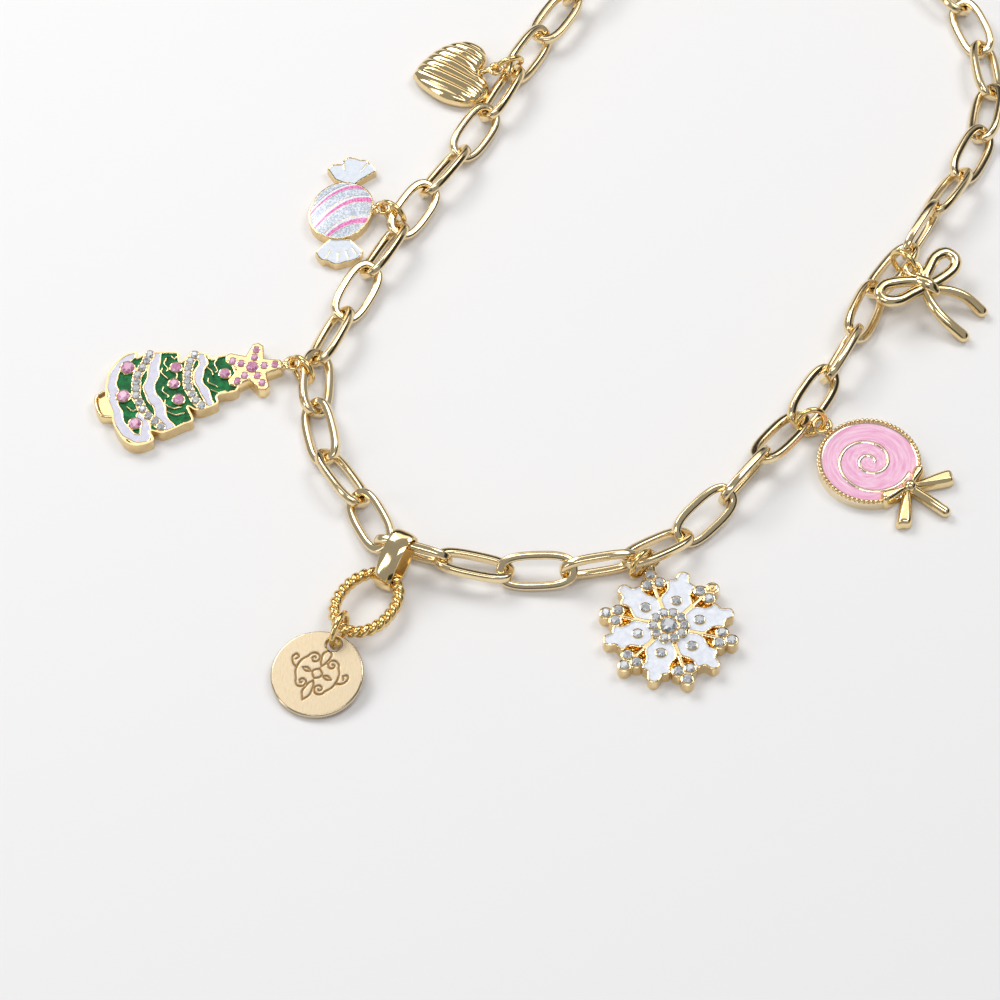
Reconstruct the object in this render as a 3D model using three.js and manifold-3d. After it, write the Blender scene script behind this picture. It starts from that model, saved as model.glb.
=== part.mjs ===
// Charm necklace lying flat on a table: an oval-link chain closed into its whole loop by a clasp,
// with seven charms on jump rings. The round tag hangs from a rope-twist link on a folded bail.
// Millimetres, +Z up. The origin is the middle of the bounding box at table height.
import * as THREE from "three";
import { mergeVertices } from "three/addons/utils/BufferGeometryUtils.js";
import Module from "manifold-3d";

const wasm = await Module();
wasm.setup();

// Chain
const LINK = { length: 14.8, width: 7.2, wire: 1.35, power: 2.8 };
const PITCH = 11.4;
const FIRST_JOINT = new THREE.Vector2(14.2, 121.0);
// One row per link of the front run: heading in plan, and lean about the link's own length, in degrees.
const FRONT_LINKS = [
  { heading: -120, lean: 5 },
  { heading: -120, lean: -55 },
  { heading: -116, lean: 40 },
  { heading: -119, lean: -30 },
  { heading: -123, lean: 45 },
  { heading: -119, lean: -25 },
  { heading: -118, lean: 45 },
  { heading: -115, lean: -25 },
  { heading: -113, lean: 40 },
  { heading: -92, lean: -35 },
  { heading: -77, lean: 35 },
  { heading: -58, lean: -35 },
  { heading: -65, lean: 35 },
  { heading: -18, lean: -75 },
  { heading: -11, lean: -20 },
  { heading: -1, lean: 40 },
  { heading: 11, lean: -85 },
  { heading: 32, lean: -25 },
  { heading: 45, lean: 35 },
  { heading: 52, lean: -80 },
  { heading: 52, lean: -20 },
  { heading: 58, lean: 40 },
  { heading: 62, lean: -65 },
  { heading: 66, lean: 45 },
  { heading: 54, lean: -30 },
  { heading: 60, lean: 85 },
  { heading: 59, lean: -40 },
];
// The back run follows an arc with these pieces in this order.
const BACK_ARC_RADIUS = 44.1;
const BACK_LINK_LEANS = { before: [35, -35, 35, -35, 35, -35], after: [35, -35, 35, -35, 65] };
const CLASP_RING = { outer: 7.0, wire: 1.1, chord: 4.2, lean: 45 };
const CLASP = { wrap: 0.45, thickness: 1.8, rim: 1.4, neck: 0.9, eyeHole: 3.5, hookHole: 3.8, lean: -30 };

// Rings, bail and rope link
const RING = { outer: 6.4, wire: 1.1 };
const TAG_RING = { outer: 7.4, wire: 1.15 };
// One row per ring: centre, then the heading and rise of the ring's axis in degrees.
const RINGS = {
  ring_heart: { at: [1.73, 102.72, 3.88], heading: 111, rise: 17 },
  ring_candy: { at: [-20.61, 65.41, 3.19], heading: 52, rise: 4 },
  ring_tree: { at: [-36.96, 27.49, 3.18], heading: -134, rise: 8 },
  ring_snowflake: { at: [25.4, -16.61, 3.75], heading: -41, rise: 3 },
  ring_lollipop: { at: [57.55, 15.07, 3.61], heading: -76, rise: 19 },
  ring_bow: { at: [76.79, 50.92, 5.63], heading: -132, rise: 2 },
  ring_disc: { at: [-28.55, -30.83, 3.7], heading: -23, rise: 2 },
};
const ROPE = { length: 16.2, width: 12.0, wire: 1.8, power: 2.1 };
const ROPE_PLACE = { at: [-23.95, -24.32, 2.75], heading: 57, uphill: -3.2 };
const BAIL = { length: 11.4, depth: 5.8, wall: 0.9, widthTop: 4.1, widthFoot: 3.6, power: 2.3, steps: 20 };
const BAIL_PLACE = {
  at: [-18.94, -16.28, 4.35],
  down: [-0.4, -0.721, -0.566],
  through: [0.837, -0.539, 0.095],
};

// Charms: where each local origin stands, and the heading of its own +Y in degrees.
const CHARM_PLACES = {
  heart: { at: [-9.5, 102.1, 0], heading: 3 },
  candy: { at: [-30.7, 66.9, 0], heading: 86.4 },
  tree: { at: [-73.2, 20.5, 0], heading: 16.65 },
  snowflake: { at: [30.1, -29.3, 0], heading: 90 },
  lollipop: { at: [68.0, 7.3, 0], heading: 141 },
  bow: { at: [81.2, 46.7, 5.0], heading: 130, tilt: 16.7, downhill: -30 },
  disc: { at: [-32.33, -39.06, 1.85], heading: 62.5, tilt: 9, downhill: -120 },
};
const EYE = { hole: 1.7, rim: 0.85 };

const DEGREE = Math.PI / 180;
const UP = new THREE.Vector3(0, 0, 1);
const NONE = new THREE.Matrix4();

const GOLD = new THREE.MeshStandardMaterial({ color: 0xe6cb96, metalness: 1, roughness: 0.25 });
const TINTS = {
  tree: 0x1d8a4a,
  snowflake: 0xe8ebf4,
  lollipop: 0xeda6c8,
  candy: 0xe6ebf5,
};

// Solids -------------------------------------------------------------------------------------------

// The closed solid of a geometry, without its seams and its zero-area faces.
function solid(geometry, placement = NONE) {
  const plain = geometry.clone().applyMatrix4(placement);
  plain.deleteAttribute("normal");
  plain.deleteAttribute("uv");
  const merged = mergeVertices(plain, 1e-4);
  const index = merged.index.array;
  const kept = [];
  for (let i = 0; i < index.length; i += 3) {
    const [a, b, c] = [index[i], index[i + 1], index[i + 2]];
    if (a !== b && b !== c && c !== a) kept.push(a, b, c);
  }
  return new wasm.Manifold(
    new wasm.Mesh({
      numProp: 3,
      vertProperties: merged.attributes.position.array,
      triVerts: new Uint32Array(kept),
    }),
  );
}

function geometryOf(manifold) {
  const mesh = manifold.getMesh();
  const geometry = new THREE.BufferGeometry();
  geometry.setAttribute("position", new THREE.BufferAttribute(new Float32Array(mesh.vertProperties), 3));
  geometry.setIndex(new THREE.BufferAttribute(new Uint32Array(mesh.triVerts), 1));
  const flat = geometry.toNonIndexed();
  flat.computeVertexNormals();
  return flat;
}

function join(solids) {
  return solids.reduce((whole, next) => whole.add(next));
}

function at(x, y, z, turn = 0) {
  return new THREE.Matrix4().makeRotationZ(turn * DEGREE).setPosition(x, y, z);
}

// A flat plate over an outline of [x, y] points.
function plate(points, bottom, top) {
  const shape = new THREE.Shape(points.map(([x, y]) => new THREE.Vector2(x, y)));
  const geometry = new THREE.ExtrudeGeometry(shape, { depth: top - bottom, bevelEnabled: false });
  return solid(geometry, at(0, 0, bottom));
}

// An upright round, prism or cone: a radius at the foot, a radius at the top.
function round(x, y, bottom, top, footRadius, topRadius, sides, turn = 0) {
  const geometry = new THREE.CylinderGeometry(topRadius, footRadius, top - bottom, sides);
  geometry.rotateX(90 * DEGREE);
  return solid(geometry, at(x, y, (bottom + top) / 2, turn));
}

// A cut stone in its seat: girdle below, eight facets, and a table on top.
function stone(x, y, bottom, radius, rise) {
  return round(x, y, bottom, bottom + rise, radius, radius * 0.6, 8, 22.5);
}

// Points pushed inwards by a distance, for the wall that stands round a cell.
function inset(points, distance) {
  const count = points.length;
  return points.map(([x, y], i) => {
    const [px, py] = points[(i + count - 1) % count];
    const [nx, ny] = points[(i + 1) % count];
    const into = new THREE.Vector2(x - px, y - py).normalize();
    const out = new THREE.Vector2(nx - x, ny - y).normalize();
    const bisector = new THREE.Vector2(-into.y - out.y, into.x + out.x).normalize();
    const spread = Math.max(0.6, bisector.x * -into.y + bisector.y * into.x);
    return [x + (bisector.x * distance) / spread, y + (bisector.y * distance) / spread];
  });
}

// A ribbon of constant width along a line of [x, y] points, as an outline.
function ribbon(points, width) {
  const left = [];
  const right = [];
  points.forEach(([x, y], i) => {
    const [px, py] = points[Math.max(0, i - 1)];
    const [nx, ny] = points[Math.min(points.length - 1, i + 1)];
    const along = new THREE.Vector2(nx - px, ny - py).normalize();
    left.push([x - (along.y * width) / 2, y + (along.x * width) / 2]);
    right.unshift([x + (along.y * width) / 2, y - (along.x * width) / 2]);
  });
  return right.concat(left);
}

// Even points on a smooth curve through a few [x, y] points.
function smooth(points, count, closed = false) {
  const curve = new THREE.CatmullRomCurve3(
    points.map(([x, y, z = 0]) => new THREE.Vector3(x, y, z)),
    closed,
  );
  const drawn = curve.getSpacedPoints(count).map((p) => [p.x, p.y]);
  return closed ? drawn.slice(0, -1) : drawn;
}

// A rounded oval: the centreline point and outward direction at an angle.
function superOval(length, width, power) {
  return (angle) => {
    const c = Math.cos(angle);
    const s = Math.sin(angle);
    const x = (length / 2) * Math.sign(c) * Math.abs(c) ** (2 / power);
    const y = (width / 2) * Math.sign(s) * Math.abs(s) ** (2 / power);
    const outX = (Math.sign(c) * Math.abs(c) ** (2 - 2 / power)) / length;
    const outY = (Math.sign(s) * Math.abs(s) ** (2 - 2 / power)) / width;
    const size = Math.hypot(outX, outY);
    return { x, y, outX: outX / size, outY: outY / size };
  };
}

// Wire bent round a closed flat curve.
function wireLoop(curve, wire, along, sides) {
  const middle = 10;
  const torus = new THREE.TorusGeometry(middle, wire / 2, sides, along);
  const position = torus.getAttribute("position");
  for (let i = 0; i < position.count; i++) {
    const [x, y] = [position.getX(i), position.getY(i)];
    const offset = Math.hypot(x, y) - middle;
    const p = curve(Math.atan2(y, x));
    position.setXY(i, p.x + p.outX * offset, p.y + p.outY * offset);
  }
  torus.computeVertexNormals();
  return torus;
}

// Rod of a round section along a smooth line of [x, y, z] points.
function rod(points, radius, steps, sides, closed = false) {
  const path = new THREE.CatmullRomCurve3(
    points.map(([x, y, z]) => new THREE.Vector3(x, y, z)),
    closed,
  );
  const section = new THREE.Shape();
  for (let i = 0; i < sides; i++) {
    const angle = (2 * Math.PI * (i + 0.5)) / sides;
    const [x, y] = [radius * Math.cos(angle), radius * Math.sin(angle)];
    if (i === 0) section.moveTo(x, y);
    else section.lineTo(x, y);
  }
  return solid(new THREE.ExtrudeGeometry(section, { steps, extrudePath: path, bevelEnabled: false }));
}

function eye(x, y, z, hole = EYE.hole, rim = EYE.rim) {
  return solid(new THREE.TorusGeometry((hole + rim) / 2, rim / 2, 6, 12), at(x, y, z));
}

// Chain --------------------------------------------------------------------------------------------

const linkGeometry = wireLoop(
  superOval(LINK.length - LINK.wire, LINK.width - LINK.wire, LINK.power),
  LINK.wire,
  16,
  5,
);

function ringGeometry({ outer, wire }) {
  return wireLoop(superOval(outer - wire, outer - wire, 2), wire, 12, 5);
}

// A claw clasp as one plate: a small eye at +X, and the long opening of the claw.
function claspGeometry(chord) {
  const inner = chord + 2 * CLASP.wrap;
  const eyeAt = inner / 2 - CLASP.eyeHole / 2;
  const hookAt = -inner / 2 + CLASP.hookHole / 2;
  const neckAt = eyeAt - CLASP.eyeHole / 2 - CLASP.rim - CLASP.neck;
  const outline = new THREE.Shape();
  outline.absarc(eyeAt, 0, CLASP.eyeHole / 2 + CLASP.rim, -80 * DEGREE, 80 * DEGREE);
  outline.absarc(hookAt, 0, CLASP.hookHole / 2 + CLASP.rim, 80 * DEGREE, 280 * DEGREE);
  const eyeHole = new THREE.Path();
  eyeHole.absarc(eyeAt, 0, CLASP.eyeHole / 2, 0, 2 * Math.PI, true);
  const mouth = new THREE.Path();
  mouth.absarc(hookAt, 0, CLASP.hookHole / 2, -80 * DEGREE, 80 * DEGREE, true);
  mouth.absarc(neckAt, 0, CLASP.neck, 80 * DEGREE, -80 * DEGREE, true);
  outline.holes.push(eyeHole, mouth);
  const bevel = 0.3;
  const geometry = new THREE.ExtrudeGeometry(outline, {
    depth: CLASP.thickness - 2 * bevel,
    bevelThickness: bevel,
    bevelSize: bevel,
    bevelOffset: -bevel,
    bevelSegments: 1,
    curveSegments: 5,
  });
  return geometryOf(solid(geometry, at(0, 0, bevel - CLASP.thickness / 2)));
}

// Height of a leaning link's centre when its lower bar rests on the table.
function restingHeight(lean) {
  return LINK.wire / 2 + ((LINK.width - LINK.wire) / 2) * Math.abs(Math.sin(lean * DEGREE));
}

// The pieces of the loop in order, each with the joint it starts at and its lean.
function loopPieces() {
  const pieces = FRONT_LINKS.map(({ lean }) => ({ kind: "link", chord: PITCH, lean }));
  const links = (leans) => leans.map((lean) => ({ kind: "link", chord: PITCH, lean }));
  pieces.push(...links(BACK_LINK_LEANS.before));
  pieces.push({ kind: "clasp_ring", chord: CLASP_RING.chord, lean: CLASP_RING.lean });
  pieces.push({ kind: "clasp", chord: 0, lean: CLASP.lean });
  pieces.push(...links(BACK_LINK_LEANS.after));

  const front = [FIRST_JOINT.clone()];
  for (const { heading } of FRONT_LINKS) {
    const step = new THREE.Vector2(PITCH, 0).rotateAround(new THREE.Vector2(), heading * DEGREE);
    front.push(front[front.length - 1].clone().add(step));
  }
  const last = front[front.length - 1];
  const across = FIRST_JOINT.clone().sub(last);
  const halfChord = across.length() / 2;
  const shift = Math.sqrt(BACK_ARC_RADIUS ** 2 - halfChord ** 2);
  const outward = new THREE.Vector2(across.y, -across.x).normalize();
  const centre = last.clone().add(FIRST_JOINT).multiplyScalar(0.5).addScaledVector(outward, shift);
  const start = Math.atan2(last.y - centre.y, last.x - centre.x);
  const sweep = Math.PI + 2 * Math.asin(shift / BACK_ARC_RADIUS);

  const back = pieces.slice(FRONT_LINKS.length);
  const angleOf = (chord) => 2 * Math.asin(chord / 2 / BACK_ARC_RADIUS);
  const claspAngle = sweep - back.reduce((sum, piece) => sum + angleOf(piece.chord), 0);
  const joints = [...front];
  let angle = start;
  for (const piece of back) {
    angle += piece.kind === "clasp" ? claspAngle : angleOf(piece.chord);
    joints.push(
      new THREE.Vector2(Math.cos(angle), Math.sin(angle)).multiplyScalar(BACK_ARC_RADIUS).add(centre),
    );
  }
  joints[joints.length - 1] = FIRST_JOINT.clone();
  return pieces.map((piece, i) => ({ ...piece, from: joints[i], to: joints[i + 1] }));
}

// Lay a piece from one joint to the next: +X along it, +Y to its left, leaned about +X.
function lay(mesh, from, to, lean) {
  const along = to.clone().sub(from).normalize();
  const level = UP.clone().cross(along).normalize();
  const rise = along.clone().cross(level);
  const side = level.multiplyScalar(Math.cos(lean * DEGREE));
  side.addScaledVector(rise, Math.sin(lean * DEGREE));
  const basis = new THREE.Matrix4().makeBasis(along, side, along.clone().cross(side));
  mesh.quaternion.setFromRotationMatrix(basis);
  mesh.position.copy(from).add(to).multiplyScalar(0.5);
  return mesh;
}

function chain() {
  const pieces = loopPieces();
  const heights = pieces.map((piece, i) => {
    const previous = pieces[(i + pieces.length - 1) % pieces.length];
    return Math.max(restingHeight(piece.lean), restingHeight(previous.lean));
  });
  let count = 0;
  return pieces.map((piece, i) => {
    const from = new THREE.Vector3(piece.from.x, piece.from.y, heights[i]);
    const to = new THREE.Vector3(piece.to.x, piece.to.y, heights[(i + 1) % pieces.length]);
    let mesh;
    if (piece.kind === "link") {
      count += 1;
      mesh = new THREE.Mesh(linkGeometry, GOLD);
      mesh.name = `link_${String(count).padStart(2, "0")}`;
    } else if (piece.kind === "clasp_ring") {
      mesh = new THREE.Mesh(ringGeometry(CLASP_RING), GOLD);
      mesh.name = "clasp_ring";
    } else {
      mesh = new THREE.Mesh(claspGeometry(from.distanceTo(to)), GOLD);
      mesh.name = "clasp";
    }
    return lay(mesh, from, to, piece.lean);
  });
}

// Rings, rope link and bail --------------------------------------------------------------------------

function placedRings() {
  return Object.entries(RINGS).map(([name, { at: centre, heading, rise }]) => {
    const mesh = new THREE.Mesh(ringGeometry(name === "ring_disc" ? TAG_RING : RING), GOLD);
    const axis = new THREE.Vector3(
      Math.cos(rise * DEGREE) * Math.cos(heading * DEGREE),
      Math.cos(rise * DEGREE) * Math.sin(heading * DEGREE),
      Math.sin(rise * DEGREE),
    );
    mesh.quaternion.setFromUnitVectors(UP, axis);
    mesh.position.set(...centre);
    mesh.name = name;
    return mesh;
  });
}

function ropeLink() {
  const curve = superOval(ROPE.length - ROPE.wire, ROPE.width - ROPE.wire, ROPE.power);
  const mesh = new THREE.Mesh(wireLoop(curve, ROPE.wire, 16, 6), GOLD);
  mesh.rotation.set(0, -ROPE_PLACE.uphill * DEGREE, ROPE_PLACE.heading * DEGREE, "ZYX");
  mesh.position.set(...ROPE_PLACE.at);
  mesh.name = "rope_link";
  return mesh;
}

// A folded band: a tall oval hoop, wide at the top and narrow at the foot.
function bail() {
  const outline = (length, depth) => {
    const curve = superOval(length, depth, BAIL.power);
    return Array.from({ length: BAIL.steps }, (_, i) => {
      const p = curve((2 * Math.PI * i) / BAIL.steps);
      return new THREE.Vector2(p.x, p.y);
    });
  };
  const hole = outline(BAIL.length - 2 * BAIL.wall, BAIL.depth - 2 * BAIL.wall);
  const shape = new THREE.Shape(outline(BAIL.length, BAIL.depth));
  shape.holes.push(new THREE.Path(hole.reverse()));
  const geometry = new THREE.ExtrudeGeometry(shape, { depth: 1, bevelEnabled: false });
  geometry.translate(0, 0, -0.5);
  const position = geometry.getAttribute("position");
  for (let i = 0; i < position.count; i++) {
    const foot = position.getX(i) / BAIL.length + 0.5;
    const width = BAIL.widthTop + (BAIL.widthFoot - BAIL.widthTop) * foot;
    position.setZ(i, position.getZ(i) * width);
  }
  const mesh = new THREE.Mesh(geometryOf(solid(geometry)), GOLD);
  const down = new THREE.Vector3(...BAIL_PLACE.down).normalize();
  const through = new THREE.Vector3(...BAIL_PLACE.through);
  const across = through.clone().cross(down).normalize();
  const basis = new THREE.Matrix4().makeBasis(down, across, down.clone().cross(across));
  mesh.quaternion.setFromRotationMatrix(basis);
  mesh.position.set(...BAIL_PLACE.at);
  mesh.name = "bail";
  return mesh;
}

// Charms ---------------------------------------------------------------------------------------------

// Puffed heart with flutes that run slantwise from edge to edge.
const HEART = { halfWidth: 8.0, tip: -7.8, notch: 5.6, rim: 1.6, top: 3.0, back: 1.4, flutes: 9, slant: 55 };
function heart() {
  const outline = new THREE.Shape();
  outline.moveTo(0, HEART.tip);
  outline.bezierCurveTo(3.6, -6.0, HEART.halfWidth + 0.2, -2.2, HEART.halfWidth, 2.6);
  outline.bezierCurveTo(HEART.halfWidth - 0.2, 7.2, 2.2, 8.2, 0, HEART.notch);
  outline.bezierCurveTo(-2.2, 8.2, 0.2 - HEART.halfWidth, 7.2, -HEART.halfWidth, 2.6);
  outline.bezierCurveTo(-HEART.halfWidth - 0.2, -2.2, -3.6, -6.0, 0, HEART.tip);
  const turned = outline
    .getPoints(40)
    .map((p) => p.clone().rotateAround(new THREE.Vector2(), -HEART.slant * DEGREE));
  const lowest = Math.min(...turned.map((p) => p.y));
  const highest = Math.max(...turned.map((p) => p.y));
  const rows = 2 * HEART.flutes;
  const columns = 6;
  const middle = (lowest + highest) / 2;
  const half = (highest - lowest) / 2;

  // Where a line across the heart enters and leaves the outline.
  function span(y) {
    const hits = [];
    turned.forEach((p, i) => {
      const q = turned[(i + 1) % turned.length];
      if (p.y > y !== q.y > y) hits.push(p.x + ((q.x - p.x) * (y - p.y)) / (q.y - p.y));
    });
    return [Math.min(...hits), Math.max(...hits)];
  }

  const vertices = [];
  const faces = [];
  const grid = (side) => {
    const first = vertices.length / 3;
    for (let r = 0; r <= rows; r++) {
      const share = Math.min(0.985, Math.max(-0.985, (2 * r) / rows - 1));
      const y = middle + half * share;
      const [left, right] = span(y);
      const crest = r % 2 === 1 ? 0.35 : 0;
      for (let c = 0; c <= columns; c++) {
        const across = -Math.cos((Math.PI * c) / columns);
        const puff = Math.sqrt(Math.max(0, (1 - Math.abs(share) ** 2.4) * (1 - across ** 2)));
        const x = (left + right) / 2 + ((right - left) / 2) * across;
        const z = HEART.rim + (side > 0 ? (HEART.top - 0.35 + crest) * puff : -HEART.back * puff);
        vertices.push(x, y, z);
      }
    }
    for (let r = 0; r < rows; r++) {
      for (let c = 0; c < columns; c++) {
        const a = first + r * (columns + 1) + c;
        const b = a + columns + 1;
        if (side > 0) faces.push(a, a + 1, b + 1, a, b + 1, b);
        else faces.push(a, b + 1, a + 1, a, b, b + 1);
      }
    }
    return first;
  };
  const top = grid(1);
  const back = grid(-1);
  for (const r of [0, rows]) {
    for (let c = 0; c < columns; c++) {
      const a = r * (columns + 1) + c;
      const [p, q, s, t] = [top + a, top + a + 1, back + a + 1, back + a];
      if (r === 0) faces.push(p, t, s, p, s, q);
      else faces.push(p, s, t, p, q, s);
    }
  }
  const geometry = new THREE.BufferGeometry();
  geometry.setAttribute("position", new THREE.Float32BufferAttribute(vertices, 3));
  geometry.setIndex(faces);
  const body = solid(geometry, at(0, 0, -(HEART.rim - HEART.back), HEART.slant));
  const neck = plate([[-0.5, 4.8], [0.7, 4.8], [1.4, 7.4], [0, 7.4]], 1.5, 4.0);
  return join([body, neck, eye(0.73, 8.78, 3.65)]);
}

// Wrapped sweet: a domed oval with slanting stripes between two pleated fans.
const CANDY = { halfWidth: 5.9, halfLength: 7.2, lean: -20, edge: 2.2, dome: 0.8, fan: 1.8 };
function candy() {
  const oval = superOval(2 * CANDY.halfWidth, 2 * CANDY.halfLength, 2.1);
  const profile = [
    [1, 0],
    [1, CANDY.edge],
    [0.93, CANDY.edge + 0.3],
    [0.6, CANDY.edge + CANDY.dome * 0.8],
    [0, CANDY.edge + CANDY.dome],
  ];
  const outline = profile.map(([share, z]) => new THREE.Vector2(share, z));
  outline.unshift(new THREE.Vector2(0, 0));
  const turned = new THREE.LatheGeometry(outline, 28);
  turned.rotateX(90 * DEGREE);
  const position = turned.getAttribute("position");
  for (let i = 0; i < position.count; i++) {
    const [x, y, z] = [position.getX(i), position.getY(i), position.getZ(i)];
    const p = oval(Math.atan2(y, x));
    const share = Math.hypot(x, y);
    position.setXYZ(i, share < 0.01 ? 0 : p.x * share, share < 0.01 ? 0 : p.y * share, z);
  }
  const ball = solid(turned, at(0, 0, 0, CANDY.lean));
  const fan = (neck, side, tips, end) => {
    const points = [
      [-1.6, neck - side],
      [1.6, neck - side],
      [1.6, neck],
      [tips[1][0], tips[1][1]],
      [tips[1][0] - 1.7, tips[1][1] + side * 0.9],
      [tips[1][0] - 2.0, tips[1][1] + side * 1.6],
      [0.7, end],
      [tips[0][0] + 2.4, end - side * 0.5],
      [tips[0][0] + 1.8, tips[0][1] + side * 1.0],
      [tips[0][0], tips[0][1]],
      [-1.6, neck],
    ];
    const body = plate(side > 0 ? points : points.reverse(), 0, CANDY.fan);
    const pleats = [-0.55, 0, 0.55].map((lean) => {
      const foot = [lean * 1.2, neck + side * 0.4];
      const head = [lean * 5.2 + 0.3, end - side * (0.9 + Math.abs(lean))];
      return plate(ribbon(side > 0 ? [foot, head] : [head, foot], 0.3), CANDY.fan - 0.1, CANDY.fan + 0.15);
    });
    return join([body, ...pleats]);
  };
  const topFan = fan(6.9, 1, [[-3.7, 11.1], [5.9, 10.6]], 13.5).translate([0.2, 0, 0]);
  const lowFan = fan(-6.9, -1, [[-4.2, -10.6], [4.7, -10.1]], -12.6);
  return join([ball, topFan, lowFan, eye(8.0, 0.6, 2.7), round(6.4, 0.4, 1.7, 3.1, 0.9, 0.9, 8)]);
}

// Fir tree with a star at its tip: enamel cells behind a gold wall, garlands and cut stones.
const TREE = { thickness: 2.7, wall: 0.5, cell: 0.35, trunk: 2.2 };
const TREE_LEFT = [
  [-4, 0.5],
  [-6.5, 1.9],
  [-8.6, 3.7],
  [-9.9, 5.8],
  [-9.7, 8.3],
  [-8.3, 7.7],
  [-9.3, 10],
  [-8.4, 12.5],
  [-8, 14.4],
  [-7.3, 15.6],
  [-4.9, 15.3],
  [-6.4, 17.5],
  [-6.4, 19.1],
  [-5.3, 20.9],
  [-4.2, 21.2],
  [-3.7, 24.6],
];
const TREE_RIGHT = [
  [4.0, 24.6],
  [4.3, 19.4],
  [6.3, 19.9],
  [6.7, 15.2],
  [5.2, 14.2],
  [8.8, 14.6],
  [9.6, 11.3],
  [10.2, 7.7],
  [8.7, 5.7],
  [11.3, 6.6],
  [11.6, 3],
  [9.9, 1.1],
  [5.2, 0],
  [2.7, 0.3],
];
const TREE_STONES = [
  [-6.6, 5.4],
  [-0.5, 3.1],
  [6.3, 3.8],
  [-4.3, 14.4],
  [-0.5, 13.1],
  [3.3, 13.1],
  [-0.1, 22.3],
];
// Garlands of small stones, and the snow lines beside them, each as a few points of its run.
const TREE_GARLANDS = [
  [[-8.6, 10.3], [-4.4, 7.1], [0.4, 5.7], [5.4, 6.8], [8.6, 8.4]],
  [[-6.2, 18.3], [-3.4, 16.5], [-0.5, 15.5], [2.9, 15.8], [6.0, 17.0]],
];
const TREE_SNOW = [
  [[-8.6, 5.8], [-7.4, 3.6], [-4.2, 1.9], [-0.4, 1.4], [4.2, 1.6], [8.7, 2.6], [10.1, 5.2]],
  [[-7.3, 11.6], [-4.4, 9.3], [-0.4, 9.4], [2.6, 7.7], [6.5, 9.4], [8.9, 9.2]],
  [[-5.2, 19.6], [-2.8, 18.4], [-0.5, 17.4], [2.5, 18.2], [5.2, 18.3]],
];
const STAR = { y: 28, tip: 5.7, notch: 2.6, turn: -8, thickness: 2.7, stones: [2.2, 4.1] };
function tree() {
  const outline = TREE_RIGHT.concat(TREE_LEFT).reverse();
  const body = plate(outline, 0, TREE.thickness);
  const cell = plate(inset(outline, TREE.wall), TREE.thickness - TREE.cell, TREE.thickness + 1);
  const lines = TREE_GARLANDS.map((line) => plate(ribbon(smooth(line, 8), 1.5), 1, TREE.thickness));
  const snow = TREE_SNOW.map((line) => plate(ribbon(smooth(line, 10), 1.9), 1, TREE.thickness - 0.1));
  const stones = TREE_STONES.map(([x, y]) => stone(x, y, 1, 1.05, TREE.thickness - 0.8));
  const starPoints = [];
  const corners = [[STAR.tip - 0.4, -9], [STAR.tip, 0], [STAR.tip - 0.4, 9], [STAR.notch, 36]];
  for (let i = 0; i < 5; i++) {
    for (const [reach, aside] of corners) {
      const angle = (90 + STAR.turn + 72 * i + aside) * DEGREE;
      starPoints.push([reach * Math.cos(angle), STAR.y + reach * Math.sin(angle)]);
    }
  }
  const star = plate(starPoints, 0, STAR.thickness);
  const starStones = [stone(0, STAR.y, 1, 1.15, STAR.thickness - 0.7)];
  for (let i = 0; i < 5; i++) {
    const angle = (90 + STAR.turn + 72 * i) * DEGREE;
    for (const reach of STAR.stones) {
      starStones.push(
        stone(reach * Math.cos(angle), STAR.y + reach * Math.sin(angle), 1, 0.7, STAR.thickness - 0.8),
      );
    }
  }
  const trunk = plate(
    [[-2.4, 0.8], [-2.4, -1.2], [-1.2, -2.2], [1.6, -2.2], [2.9, -1.2], [2.9, 0.8]],
    0,
    TREE.trunk,
  );
  const hanger = [eye(1.4, 35.4, 2.8), round(0.9, 33.8, 1.5, 3.1, 0.8, 0.8, 8)];
  const cells = body.subtract(cell);
  return join([cells, ...lines, ...snow, ...stones, star, ...starStones, trunk, ...hanger]);
}

// Snowflake: six enamel petals between six arms that end in trefoils of stones.
const FLAKE = { thickness: 2.6, wall: 0.4, cell: 0.3, petalTurn: 14.7, armTurn: 45.5 };
// Half of a petal's outline as [distance out, distance aside].
const PETAL_HALF = [
  [2.6, 1.2],
  [5.6, 2.9],
  [8.2, 3.0],
  [9.9, 2.5],
  [10.4, 1.3],
  [12.2, 0.8],
];
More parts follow.
